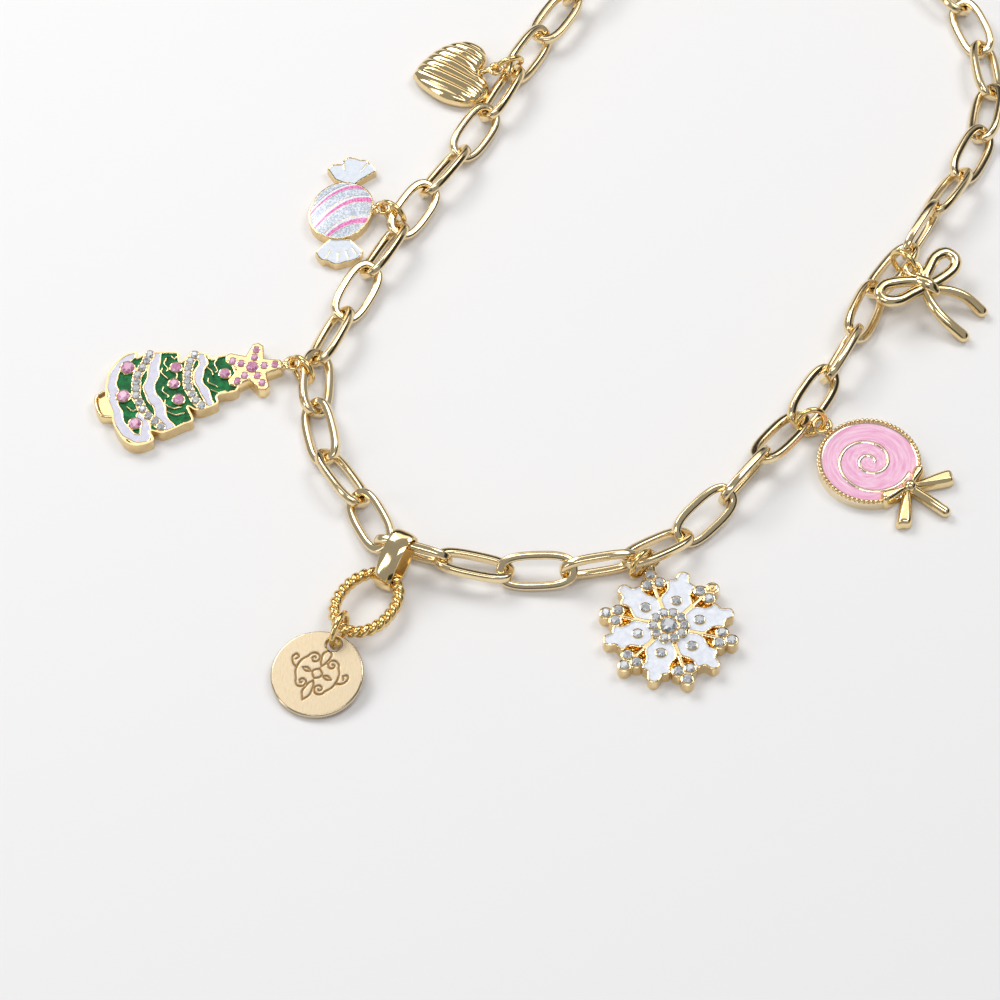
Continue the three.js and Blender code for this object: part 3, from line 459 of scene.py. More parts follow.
# Depth of the engraving and half the width of its lines.
GROOVE = {"depth": 0.18, "line": 0.19}

# Where each charm's own origin stands from the start of the loop, the heading of its top in degrees, and
# for the two that lean, how far they tilt and which way is downhill.
CHARM_PLACES = {
    "heart": {"at": (-9.5, 102.1, 0), "heading": 3},
    "candy": {"at": (-30.7, 66.9, 0), "heading": 86.4},
    "tree": {"at": (-73.2, 20.5, 0), "heading": 16.65},
    "snowflake": {"at": (30.1, -29.3, 0), "heading": 90},
    "lollipop": {"at": (68.0, 7.3, 0), "heading": 141},
    "bow": {"at": (81.2, 46.7, 5.0), "heading": 130, "tilt": 16.7, "downhill": -30},
    "disc": {"at": (-32.33, -39.06, 1.85), "heading": 62.5, "tilt": 9, "downhill": -120},
}


def turned(points, degrees):
    """Points turned about the origin of their first two directions."""
    cosine, sine = cos_sin(degrees)
    points = np.array(points, float)
    points[:, :2] = points[:, :2] @ np.array([[cosine, sine], [-sine, cosine]])
    return points


def placed(name, body):
    """A body in a charm's own frame, turned to its heading, tilted downhill and set down in its place."""
    points, faces = body
    place = CHARM_PLACES[name]
    points = turned(points, place["heading"] - 90 - place.get("downhill", 0))
    cosine, sine = cos_sin(place.get("tilt", 0))
    points = points @ np.array([[cosine, 0, -sine], [0, 1, 0], [sine, 0, cosine]])
    return turned(points, place.get("downhill", 0)) + np.array(place["at"]) + LOOP_START, faces


def away_from(line, points):
    """Least distance from each point to an open line of points."""
    line = np.asarray(line, float)
    sides = line[1:] - line[:-1]
    apart = points[:, None] - line[None, :-1]
    along = np.clip((apart * sides).sum(-1) / (sides**2).sum(-1), 0, 1)
    return np.linalg.norm(apart - along[..., None] * sides, axis=-1).min(1)


def inward_of(loop):
    """A function that tells how far points lie inside a closed loop: the least distance to its sides, taken
    as negative outside, where a ray to the right crosses the loop an even number of times."""
    closed = np.concatenate([loop, loop[:1]])
    start, sides = closed[:-1], closed[1:] - closed[:-1]

    def inward(points):
        nearest = away_from(closed, points)
        above = start[:, 1] > points[:, 1:2]
        straddles = above != np.roll(above, -1, axis=1)
        slope = sides[:, 0] / np.where(sides[:, 1] == 0, 1e-12, sides[:, 1])
        right = points[:, :1] < start[:, 0] + (points[:, 1:2] - start[:, 1]) * slope
        return np.where((straddles & right).sum(1) % 2 == 1, nearest, -nearest)

    return inward


def nearest_of(lines, points):
    """Least distance from each point to any of some lines."""
    return np.min([away_from(line, points) for line in lines], axis=0)


def from_middle(points):
    """Distance of each point from the origin."""
    return np.linalg.norm(points, axis=1)


def relief(inward, low, high, step, top, base=0.0):
    """A closed body cut to an outline, with a shaped face. Squares of a grid are kept where their corners lie
    inside; the corners on the kept border slide down the slope of the inward distance onto the outline; and
    the face is top(points, inward), over a back at one height or base(points, inward), with walls between."""
    xs, ys = (np.arange(low[k], high[k] + step, step) for k in (0, 1))
    grid = np.stack(np.meshgrid(xs, ys), -1).reshape(-1, 2)
    squares = np.array(grid_faces(len(ys), len(xs), False, False))
    squares = squares[(inward(grid) > -0.3 * step)[squares].all(1)]
    used, squares = np.unique(squares, return_inverse=True)
    grid, squares, count = grid[used], squares.reshape(-1, 4), len(used)
    edges = np.stack([squares, np.roll(squares, -1, axis=1)], -1).reshape(-1, 2)
    border = edges[~np.isin(edges[:, 0] * count + edges[:, 1], edges[:, 1] * count + edges[:, 0])]
    rim = np.unique(border)
    nudge = 0.05 * step
    for _ in range(3):
        here = inward(grid[rim])
        slope = [inward(grid[rim] + d) - inward(grid[rim] - d) for d in np.eye(2) * nudge]
        slope = np.stack(slope, 1) / 2 / nudge
        slope /= np.maximum(np.linalg.norm(slope, axis=1, keepdims=True), 0.5)
        grid[rim] -= here[:, None] * slope
    depth = np.maximum(inward(grid), 0)
    depth[rim] = 0
    face = np.column_stack([grid, top(grid, depth)])
    back = np.column_stack([grid, base(grid, depth) if callable(base) else np.full(count, base)])
    wall = np.stack([border[:, 0], border[:, 0] + count, border[:, 1] + count, border[:, 1]], 1)
    faces = np.concatenate([squares, squares[:, ::-1] + count, wall]).tolist()
    return (np.concatenate([face, back]), faces), grid, depth


def rounding(depth, edge, power=2):
    """How far a rounded edge has fallen at each depth: all of it at the border, none of it further in."""
    return (1 - np.clip(depth / edge, 0, 1)) ** power


def scroll(centre, reach, turns):
    """A spiral line that closes on its centre: the reach shrinks evenly with the angle turned."""
    share = np.linspace(0, 1, 40)[:, None]
    angle = np.radians(360 * turns * share)
    return np.array(centre) + reach * (1 - 0.88 * share) * np.hstack([np.cos(angle), np.sin(angle)])


def through(points, count, closed=False):
    """Even points on a smooth curve through a few: each span blends its four nearest points (Catmull-Rom)."""
    points = np.asarray(points, float)
    if closed:
        padded = np.concatenate([points[-1:], points, points[:2]])
    else:
        padded = np.concatenate([2 * points[:1] - points[1:2], points, 2 * points[-1:] - points[-2:-1]])
    spans = len(padded) - 3
    place = np.linspace(0, spans, count, endpoint=not closed)
    span = np.minimum(place.astype(int), spans - 1)
    t = (place - span)[:, None]
    a, b, c, d = (padded[span + k] for k in range(4))
    return 0.5 * (2 * b + (c - a) * t + (2 * a - 5 * b + 4 * c - d) * t**2 + (3 * b - a - 3 * c + d) * t**3)


# Half of the engraving, which is mirrored: an upright C with a volute at either end, a leaf above and one
# below, half a lozenge between them, a small curl at the side, and a pointed leaf lying level.
STROKES = [
    through([(2.95, 2.5), (3.7, 1.3), (3.9, 0), (3.7, -1.3), (2.95, -2.5)], 40),
    scroll((1.75, 2.5), 1.2, 1.35),
    scroll((1.75, -2.5), 1.2, -1.35),
    through([(0, 5.0), (0.75, 3.9), (0.5, 2.4), (0, 1.5)], 24),
    through([(0, -1.5), (0.5, -2.4), (0.75, -4.2), (0, -5.6)], 24),
    through([(0, 1.0), (0.75, 0.45), (0.9, 0), (0.75, -0.45), (0, -1.0)], 20),
    through([(3.95, -0.4), (5.0, 0.1), (5.5, 1.1), (5.1, 1.9), (4.5, 1.5), (4.8, 0.9)], 30),
    through([(1.2, 0), (2.0, 0.35), (2.9, 0)], 12),
    through([(1.2, 0), (2.0, -0.35), (2.9, 0)], 12),
]


def engraving(points):
    """Distance from each point to the nearest stroke of the mirrored ornament."""
    return np.minimum(nearest_of(STROKES, points), nearest_of(STROKES, points * np.array([-1, 1])))


def tag_inward(points):
    """Distance to the tag's edge or to its hole, whichever is nearer."""
    from_hole = from_middle(points - np.array([0, TAG["hole_at"]])) - TAG["hole"]
    return np.minimum(TAG["radius"] - from_middle(points), from_hole)


def tag_face(points, depth):
    """Half the thickness, less the bevel at the border and the engraved groove."""
    groove = GROOVE["depth"] * np.clip(1.4 - engraving(points) / GROOVE["line"], 0, 1)
    return TAG["thickness"] / 2 - TAG["bevel"] * rounding(depth, TAG["bevel"]) - groove


def tag_back(points, depth):
    """The same bevelled face turned down, with no engraving."""
    return -TAG["thickness"] / 2 + TAG["bevel"] * rounding(depth, TAG["bevel"])


# Satin gold: brushing a quarter of a millimetre wide and drawn out downwards dulls the face, which turns to
# polish where the layer called face ends, and to brown in the cuts of the layer called engraved.
SATIN_GOLD, tree, shader = new_material("satin_engraved_gold_plate", Metallic=1.0)
place = add_node(tree, "TexCoord").outputs["Object"]
fine, drawn = 1 / (0.25 * MM), 1 / (1.2 * MM)
stretch = add_node(tree, "Mapping", {"Scale": (fine, drawn, fine)}, {"Vector": place})
brushing = add_node(tree, "TexNoise", {"Scale": 1.0, "Detail": 5.0}, {"Vector": stretch})
cut = add_node(tree, "Attribute", {"attribute_name": "engraved"}).outputs["Fac"]
face = add_node(tree, "Attribute", {"attribute_name": "face"}).outputs["Fac"]
spread = {"From Min": 0.3, "From Max": 0.7, "To Min": 0.26, "To Max": 0.42}
satin = add_node(tree, "MapRange", spread, {"Value": brushing})
rough = add_node(tree, "Math", {"operation": "MULTIPLY_ADD", 2: 0.1}, {0: satin, 1: face})
plain = add_node(tree, "MixRGB", {"Color1": linear("E4D5BA"), "Color2": linear("CBB48E")}, {"Fac": brushing})
lined = add_node(tree, "MixRGB", {"Color2": linear("8E6A35")}, {"Fac": cut, "Color1": plain})
grain = add_node(tree, "Bump", {"Strength": 0.5, "Distance": 0.03 * MM}, {"Height": brushing})
feed(tree, shader, {"Base Color": lined, "Roughness": rough, "Normal": grain})

span = TAG["radius"] + 0.2
tag, grid, depth = relief(tag_inward, (-span, -span), (span, span), 0.1, tag_face, tag_back)
cut_share = np.clip(1.3 - engraving(grid) / GROOVE["line"], 0, 1)
face_share = np.clip((depth - TAG["bevel"]) / 0.1, 0, 1)
layers = {"engraved": np.tile(cut_share, 2) * np.repeat([1, 0], len(grid)), "face": np.tile(face_share, 2)}
piece("engraved_tag", placed("disc", tag), SATIN_GOLD, ["disc"], layers=layers)

# Heart ----------------------------------------------------
# A hollow-backed heart pressed in two halves, puffed on both sides, with nine slanting flutes rolled across
# its face and a thin rim where the halves meet. A neck of the rim carries its eye.

HEART = {"rim": 1.4, "edge": 0.28, "top": 2.9, "back": 1.35, "reach": 6.4}
FLUTES = {"count": 9, "depth": 0.42, "slant": math.radians(55)}
HEART_HALF = [
    (0, -7.8), (2.9, -6.2), (6.4, -2.6), (8.05, 1.2), (7.9, 4.2), (6.3, 6.4), (4.0, 7.1), (1.6, 6.6),
    (0.25, 5.5),
]


def circle(count):
    """Points evenly spaced round a level circle of radius 1."""
    turn = around(count)
    return np.stack([np.cos(turn), np.sin(turn), np.zeros(count)], 1)


def ring_eye(x, y, z, hole=1.7, rim=0.85):
    """A flat-lying eye: a round wire loop about a hole."""
    return tube((hole + rim) / 2 * circle(40) + np.array([x, y, z]), rim / 2, closed=True)


def puff(depth, reach, power=2.0):
    """Rise of a puffed surface: the height of a swollen arc, from 0 at the edge to 1 where depth is reach."""
    return np.sqrt(1 - rounding(depth, reach, power))


def cast(name, charm, bodies, nodes=(), sharp=40):
    """A piece of a charm in polished gold, made of one or more bodies in the charm's own frame."""
    piece(name, placed(charm, gather(bodies)), CAST_GOLD, nodes, sharp)


heart_right = through(HEART_HALF, 60)
heart_loop = np.concatenate([heart_right, heart_right[:0:-1] * np.array([-1, 1])])
flute_run = np.array([-math.sin(FLUTES["slant"]), math.cos(FLUTES["slant"])])
across_flutes = heart_loop @ flute_run
flute_pitch = (across_flutes.max() - across_flutes.min()) / FLUTES["count"]


def heart_face(points, depth):
    """A puffed rise from the edge, lowered between the round flutes that a cosine spaces evenly."""
    flute = 0.5 - 0.5 * np.cos(2 * math.pi * (points @ flute_run - across_flutes.min()) / flute_pitch)
    rise = HEART["top"] - HEART["edge"] - FLUTES["depth"] * (1 - np.sqrt(np.clip(flute, 0, 1)))
    return HEART["rim"] + HEART["edge"] + rise * puff(depth, HEART["reach"], 2.2)


def heart_back(points, depth):
    """A plain puffed back, from the edge down."""
    return HEART["rim"] - HEART["edge"] - (HEART["back"] - HEART["edge"]) * puff(depth, HEART["reach"])


heart = relief(inward_of(heart_loop), (-8.4, -8.1), (8.4, 7.6), 0.12, heart_face, heart_back)[0]
heart_neck = tube([(0.35, 5.6, 2.4), (0.6, 6.9, 3.2), (0.7, 7.6, 3.6)], 0.6)
cast("fluted_heart", "heart", [heart], ["heart"], sharp=60)
cast("heart_eye", "heart", [heart_neck, ring_eye(0.73, 8.78, 3.65)])

# Bow ------------------------------------------------------
# A bow bent from thick wire: two drop-shaped loops, two tails that spread and widen toward their tips, and a
# smooth knot across the middle, with an eye soldered above it.

# Widths of the loops' wire, the tails' tips and the knot, and how much wider than tall the loops' wire is.
BOW = {"wire": 1.85, "tail": 2.3, "knot": 2.7, "flat": 1.25}
BOW_RIGHT_LOOP = [
    (0.2, -0.4, 0), (3.4, -0.7, 0.1), (6.6, -0.3, 0.2), (8.2, 1.2, 0.2), (7.6, 3.1, 0), (5.2, 3.5, -0.1),
    (2.5, 2.4, 0), (0.4, 1.2, 0),
]
BOW_LEFT_LOOP = [
    (-1.4, -0.2, 0), (-4.4, -0.1, 0.1), (-7.6, 0.2, 0.2), (-10.0, 1.5, 0.2), (-10.1, 3.3, 0),
    (-7.9, 4.2, -0.1), (-5.1, 3.3, 0), (-2.6, 2.0, 0), (-1.6, 1.0, 0),
]
BOW_TAILS = [
    [(0.2, -1.6, -0.1), (2.6, -3.6, 0.1), (4.5, -6.3, 0), (5.6, -10.1, -0.6)],
    [(-1.8, -1.0, -0.1), (-2.6, -4.0, 0.1), (-2.6, -7.7, 0), (-1.3, -12.2, -0.6)],
]
BOW_KNOT = [(-1.35, 1.3, 0.3), (-0.8, -0.5, 0.7), (-0.2, -2.1, 0.2)]

bow_lines = [through(line, 90, True) for line in (BOW_RIGHT_LOOP, BOW_LEFT_LOOP)]
loops = [tube(line, BOW["wire"] / 2, 18, True, wide=BOW["flat"]) for line in bow_lines]
taper = BOW["tail"] / 2 * np.linspace(0.8, 1, 40)
tails = [tube(through(line, 40), taper, 18) for line in BOW_TAILS]
cast("wire_bow", "bow", loops + tails, ["bow"])
knot_swell = 0.84 + 0.16 * np.sin(np.linspace(0, math.pi, 48))
knot = tube(through(BOW_KNOT, 48), BOW["knot"] / 2 * knot_swell, 24)
bow_post = tube([(-0.6, 0.9, 0), (-0.65, 2.4, 0)], 0.7)
cast("bow_knot", "bow", [knot, bow_post, ring_eye(-0.65, 3.75, 0, 2.1, 1.0)])

# Candy ----------------------------------------------------
# A wrapped sweet cast in gold and filled with enamel: a glittering white ball crossed by three pink stripes
# between hair-thin gold lines, and two pleated wrapper ends in plain white.

CANDY = {"width": 11.8, "length": 14.4, "lean": -20, "edge": 2.1, "dome": 0.9, "wall": 0.26, "sunk": 0.08}
# Each stripe's line as y over x, highest power first, then the width of its pink at the left and right ends.
CANDY_STRIPES = [(-0.082, 0.586, 5.23), (-0.071, 0.793, 0.885), (-0.065, 0.771, -4.28)]
CANDY_PINK = (0.35, 1.15)
TOP_FAN = [
    (-3.7, 10.6), (-1.9, 7.9), (1.6, 6.4), (3.2, 8.2), (6.1, 10.7), (5.6, 11.5), (4.3, 12.4), (3.9, 13.3),
    (0.4, 13.6), (-0.5, 13.2), (-0.8, 12.2), (-2.6, 11.5),
]
LOW_FAN = [
    (-4.2, -10.3), (-1.4, -6.6), (2.4, -6.9), (5.2, -9.7), (4.6, -10.9), (2.4, -12.5), (0.0, -13.0),
    (-2.6, -12.3),
]
# One row per fan: outline, neck that its pleats run out from, and the pleats' heads.
CANDY_FANS = {
    "candy_top_fan": (TOP_FAN, (0.6, 5.4), [(-0.6, 12.4), (4.0, 12.4)]),
    "candy_low_fan": (LOW_FAN, (0.2, -5.2), [(-1.9, -11.6), (0.4, -12.2), (2.4, -11.5), (3.9, -10.3)]),
}
FAN = {"height": 1.8, "sunk": 0.1, "pleat": 0.14, "pleat_reach": 0.3, "pleat_line": 0.09, "pleat_from": 0.72}
# Scallops along a fan's end, as many to a radian, on the part of its outline that lies beyond a reach.
SCALLOP = {"size": 0.4, "to_radian": 6, "beyond": 5.8}
PALE_GOLD = ("F2DCAE", "E6C68C")


def enamel_in_gold(name, enamels, glaze=0.12, speck=0.6, glitter=False, flow=None, gold=PALE_GOLD, shine=0.5):
    """Glassy enamel fired into gold cells. Each enamel is (layer, light, deep): it lies where its layer's
    distance in mm is above zero, over the ones before it, and drifts between its two tones with a pattern as
    wide as speck in mm. Gold lies over them all where the layer called gold is above zero."""
    material, tree, shader = new_material(name, Specular_IOR_Level=shine)
    if flow:
        place = add_node(tree, "Attribute", {"attribute_name": flow}).outputs["Vector"]
    else:
        place = add_node(tree, "TexCoord").outputs["Object"]
        speck = speck * MM
    if glitter:
        pattern = add_node(tree, "TexVoronoi", {"Scale": 1 / speck}, {"Vector": place}).outputs["Color"]
    else:
        drift = {"Scale": 1 / speck, "Detail": 5.0, "Roughness": 0.65}
        pattern = add_node(tree, "TexNoise", drift, {"Vector": place})
    share = add_node(tree, "MapRange", {"From Min": 0.3, "From Max": 0.7}, {"Value": pattern})
    colour = None
    for layer, light, deep in [*enamels, ("gold", *gold)]:
        tone = add_node(tree, "MixRGB", {"Color1": linear(light), "Color2": linear(deep)}, {"Fac": share})
        if colour is not None:
            distance = add_node(tree, "Attribute", {"attribute_name": layer}).outputs["Fac"]
            mask = add_node(tree, "MapRange", {"From Min": -0.03, "From Max": 0.03}, {"Value": distance})
            tone = add_node(tree, "MixRGB", {}, {"Fac": mask, "Color1": colour, "Color2": tone})
        colour = tone
    rough = add_node(tree, "MapRange", {"To Min": glaze, "To Max": 0.11}, {"Value": mask})
    ripple = {"Strength": 0.4, "Distance": (0.05 if glitter else 0.02) * MM}
    bump = add_node(tree, "Bump", ripple, {"Height": share})
    feed(tree, shader, {"Base Color": colour, "Metallic": mask, "Roughness": rough, "Normal": bump})
    return material


def enamelled(name, charm, body, material, nodes=(), **layers):
    """A piece in enamel and gold. Its layers hold the given values on the face, and 1, which is all gold, on
    the back and walls; a layer of vectors is the same on both."""
    ones = np.ones(len(body[0]) // 2)
    for layer, values in layers.items():
        layers[layer] = np.concatenate([values, ones if values.ndim == 1 else values])
    piece(name, placed(charm, body), material, nodes, sharp=50, layers=layers)


def candy_face(points, depth):
    """A low dome whose enamel lies just below its gold wall."""
    dome = 1 - rounding(depth, CANDY["width"] / 2)
    return CANDY["edge"] + CANDY["dome"] * dome - CANDY["sunk"] * (depth > CANDY["wall"])


GLITTER_ENAMEL = enamel_in_gold(
    "glitter_enamel_in_gold",
    [("", "E9EEF5", "B4C0CF"), ("sparkle", "FBFCFE", "DFE5EC"), ("pink", "F7A3D0", "E063AE")],
    glaze=0.22, speck=0.28, glitter=True,
)
PLAIN_ENAMEL = enamel_in_gold("white_enamel_in_gold", [("", "E6EBF1", "D3DAE3")], glaze=0.16, speck=0.9)

candy_loop, _ = rounded_oval(around(160), CANDY["width"], CANDY["length"], 2.1)
candy_inward = inward_of(turned(candy_loop, CANDY["lean"]))
candy, grid, depth = relief(candy_inward, (-7, -7.8), (7, 7.8), 0.12, candy_face)
gold, pink, sparkle = CANDY["wall"] - depth, np.full(len(grid), -1.0), np.full(len(grid), -1.0)
x = grid[:, 0]
half = np.interp(x, [-5, 5], np.array(CANDY_PINK) / 2)
for bend, slope, rise in CANDY_STRIPES:
    above = (grid[:, 1] - bend * x**2 - slope * x - rise) / np.sqrt(1 + (2 * bend * x + slope) ** 2)
    pink = np.maximum(pink, half - np.abs(above + 0.25))
    sparkle = np.maximum(sparkle, 0.75 - np.abs(above - 0.05))
    gold = np.maximum(gold, 0.07 - np.abs(above - half - 0.35))
    gold = np.maximum(gold, 0.05 - np.abs(above + half + 0.45))
enamelled("candy_ball", "candy", candy, GLITTER_ENAMEL, ["candy"], gold=gold, pink=pink, sparkle=sparkle)

for name, (outline, neck, heads) in CANDY_FANS.items():
    corners = np.array([*outline, outline[0]])
    fan_loop = np.stack([evenly(corners, values, 160) for values in corners.T], 1)
    out = fan_loop - np.array(neck)
    reach = from_middle(out)
    waves = np.abs(np.cos(SCALLOP["to_radian"] * np.arctan2(out[:, 1], out[:, 0]))) - 0.6
    scallop = SCALLOP["size"] * np.clip((reach - SCALLOP["beyond"]) / 0.6, 0, 1) * waves
    fan_loop = fan_loop + scallop[:, None] * out / reach[:, None]
    pleats = [[np.array(neck) + FAN["pleat_from"] * (np.array(head) - neck), head] for head in heads]

    def fan_face(points, depth, pleats=pleats):
        """A level face, sunk inside its wall, with a straight-sided ridge along each pleat."""
        pleat = FAN["pleat"] * np.clip(1 - nearest_of(pleats, points) / FAN["pleat_reach"], 0, 1)
        return FAN["height"] - FAN["sunk"] * (depth > CANDY["wall"]) + pleat

    low, high = fan_loop.min(0) - 0.3, fan_loop.max(0) + 0.3
    fan, grid, depth = relief(inward_of(fan_loop), low, high, 0.12, fan_face)
    gold = np.maximum(CANDY["wall"] - depth, FAN["pleat_line"] - nearest_of(pleats, grid))
    enamelled(name, "candy", fan, PLAIN_ENAMEL, gold=gold)
candy_post = tube([(6.4, 0.4, 1.7), (6.4, 0.4, 2.7)], 0.8, 16, up=(1, 0, 0))
cast("candy_eye", "candy", [candy_post, ring_eye(8.0, 0.6, 2.7)])

# Lollipop -------------------------------------------------
# A round sweet on a stick, cast in gold: a dish of pink pearl enamel swept round in rings, a gold spiral
# standing in it, a rim of small beads, and a ribbon bow over the top of the stick.

SWEET = {"radius": 9.6, "rim": 0.95, "rim_top": 2.05, "cell": 1.85, "dome": 0.12}
BEADS = {"count": 66, "radius": 0.43, "height": 2.15, "past_edge": 0.04}
# The spiral's first reach and how much it gains, its turn and first heading in degrees, width and rise.
SPIRAL = {"start": 1.0, "gain": 6.6, "power": 1.5, "turn": 700, "from": -51, "width": 0.56, "rise": 0.25}
# One row per ribbon: outline, and the heights of its foot and back.
RIBBONS = [
    ([(5.4, -14.2), (6.9, -14.2), (7.7, -12.1), (1.2, -8.9), (0.4, -9.9)], 0.5, 2.3),
    ([(-0.2, -9.6), (-1.0, -8.6), (-7.7, -11.6), (-7.4, -13.1), (-5.7, -13.8)], 0.5, 2.3),
    ([(0.5, -9.6), (4.3, -9.4), (5.1, -8.4), (3.9, -7.2), (0.9, -8.4)], 0.6, 3.2),
    ([(-0.9, -8.3), (-4.2, -5.9), (-5.9, -6.8), (-5.4, -8.4), (-0.6, -9.5)], 0.6, 3.2),
]

share = np.linspace(0, 1, 160)
spiral_reach = SPIRAL["start"] + SPIRAL["gain"] * share ** SPIRAL["power"]
spiral_angle = np.radians(SPIRAL["turn"] * share + SPIRAL["from"])
spiral_line = spiral_reach[:, None] * np.stack([np.cos(spiral_angle), np.sin(spiral_angle)], 1)


def sweet_inward(points):
    """Distance inside the dish's round edge."""
    return SWEET["radius"] - from_middle(points)


def sweet_face(points, depth):
    """The filled cell's low dome, plus a rim that slopes down on both sides and the spiral's ridge."""
    rim = np.clip(2 - depth / SWEET["rim"] * 2, 0, 1) * np.clip(0.55 + depth, 0, 1)
    spiral = np.clip(1.8 - away_from(spiral_line, points) / SPIRAL["width"] * 2.6, 0, 1)
    filled = SWEET["cell"] + SWEET["dome"] * np.clip(depth / SWEET["radius"], 0, 1)
    return filled + (SWEET["rim_top"] - SWEET["cell"]) * rim + SPIRAL["rise"] * spiral


def ball(radius, sides=12, at=(0, 0, 0)):
    """A ball about a point as stacked rings, closed by a flat cap at each pole."""
    tilt = np.radians(np.linspace(-86, 86, sides - 1))[:, None]
    turn = around(sides)[None, :]
    rows = np.stack([np.cos(tilt) * np.cos(turn), np.cos(tilt) * np.sin(turn), np.sin(tilt) + 0 * turn], -1)
    last = (sides - 2) * sides
    caps = [list(range(sides))[::-1], list(range(last, last + sides))]
    return radius * rows.reshape(-1, 3) + np.array(at), grid_faces(sides - 1, sides, wrap_rows=False) + caps


def ribbon(outline, low, high):
    """A short length of cast ribbon: an outline puffed up to its back from three tenths of its height."""
    loop = through(outline, 80, True)

    def back(points, depth):
        return low + (high - low) * (0.3 + 0.7 * puff(depth, 1.0))

    return relief(inward_of(loop), loop.min(0) - 0.3, loop.max(0) + 0.3, 0.14, back, low)[0]


PEARL_PINK = enamel_in_gold(
    "pink_pearl_enamel_in_gold", [("", "FBD8E8", "E693BE")], glaze=0.14, speck=0.8, flow="swept",
    gold=("FBEFD6", "F0DCB4"),
)

dish, grid, depth = relief(sweet_inward, (-9.8, -9.8), (9.8, 9.8), 0.14, sweet_face)
gold = np.maximum(SWEET["rim"] - depth, SPIRAL["width"] / 2 + 0.04 - away_from(spiral_line, grid))
angle = np.arctan2(grid[:, 1], grid[:, 0])
# Rings half a millimetre wide that wander slowly as they go round: many across the radius, few along it.
swept = np.stack([from_middle(grid) / 0.55, 1.3 * np.cos(angle), 1.3 * np.sin(angle)], 1)
enamelled("lollipop_dish", "lollipop", dish, PEARL_PINK, ["lollipop"], gold=gold, swept=swept)
bead_ring = SWEET["radius"] - BEADS["radius"] + BEADS["past_edge"]
bead_places = bead_ring * circle(BEADS["count"]) + np.array([0, 0, BEADS["height"]])
beads = [ball(BEADS["radius"], 10, place) for place in bead_places]
cast("lollipop_beads", "lollipop", beads, sharp=80)
stick = tube([(0, -8.6, 1.6), (0, -13, 1.5), (0, -17.1, 1.25)], 1.05, 20)
lollipop_post = tube([(0.7, 9.8, 1.6), (0.75, 10.1, 2.6)], 0.7)
ribbons = [ribbon(*row) for row in RIBBONS] + [ball(1.25, 24, (0, -9.2, 2.25))]
handle = ribbons + [stick, lollipop_post, ring_eye(0.9, 11.4, 2.5, 2.3)]
cast("lollipop_stick_and_bow", "lollipop", handle, sharp=60)

# Christmas tree -------------------------------------------
# A fir tree cast in gold with a star at its tip. Green enamel and bands of white snow lie in its cells,
# garlands of clear stones cross it, and pink stones stand in the green and along the star.

TREE = {"thickness": 2.6, "wall": 0.42, "cell": 0.28, "trunk": 2.2, "hair": 0.13}
# Half the width of a garland's gold, and the radius of its stones.
GARLAND = {"half": 0.95, "stone": 0.76}
STAR = {"y": 28, "tip": 5.9, "notch": 3.0, "blunt": 0.45, "turn": -8, "thickness": 2.7}
TREE_OUTLINE = [
    (-4.0, 0.8), (-6.5, 1.9), (-8.6, 3.9), (-9.8, 6.0), (-9.7, 8.1), (-8.5, 7.9), (-8.9, 9.3), (-9.2, 10.6),
    (-8.5, 12.5), (-8.0, 14.4), (-7.2, 15.6), (-5.2, 15.5), (-6.3, 17.4), (-6.4, 19.2), (-5.3, 20.8),
    (-4.2, 21.3), (-3.8, 24.4), (3.9, 24.4), (4.4, 20.4), (6.2, 19.8), (6.8, 17.2), (6.6, 15.4), (5.5, 14.3),
    (8.6, 14.5), (9.1, 12.6), (9.6, 10.6), (9.9, 8.2), (8.9, 6.3), (10.9, 6.4), (11.5, 4.6), (11.2, 2.5),
    (9.7, 1.1), (7.5, 0.4), (5.0, 0.0), (2.4, 0.3), (-0.8, 0.1), (-2.4, 0.3),
]
TRUNK_OUTLINE = [(-2.7, 1.6), (-2.7, -1.0), (-1.4, -2.1), (1.8, -2.1), (3.1, -1.0), (3.1, 1.6)]
# Bands of snow: half of each band's width, and points along its middle.
TREE_SNOW = [
    (0.95, [(-9.4, 7.0), (-8.3, 5.0), (-6.5, 2.9), (-4.2, 2.0), (-1.5, 1.7), (1.1, 1.1), (3.9, 1.2),
            (7.1, 1.5), (9.4, 2.9), (10.3, 4.8)]),
    (0.95, [(4.9, 5.6), (6.6, 5.6), (8.6, 5.4), (10.0, 5.0)]),
    (1.0, [(-8.3, 11.5), (-5.8, 10.5), (-3.6, 9.7), (-1.2, 8.5), (1.2, 8.3), (3.2, 9.2), (5.5, 8.8),
           (7.7, 9.4), (9.0, 9.7)]),
    (0.78, [(-5.8, 19.5), (-3.8, 19.4), (-2.4, 18.4), (-0.2, 17.6), (2.0, 17.9), (3.5, 18.1), (5.6, 18.3)]),
]
GARLANDS = [
    [(-8.4, 10.3), (-7.2, 9.4), (-5.8, 8.2), (-4.4, 7.0), (-2.8, 6.4), (-1.4, 6.0), (0.2, 5.6), (1.9, 5.8),
     (3.6, 6.0), (5.4, 6.7), (7.0, 7.6), (8.5, 8.3)],
    [(-5.9, 18.3), (-4.7, 17.2), (-3.3, 16.5), (-1.9, 16.0), (-0.4, 15.6), (1.1, 15.4), (2.9, 15.7),
     (4.4, 16.0), (6.0, 16.7)],
]
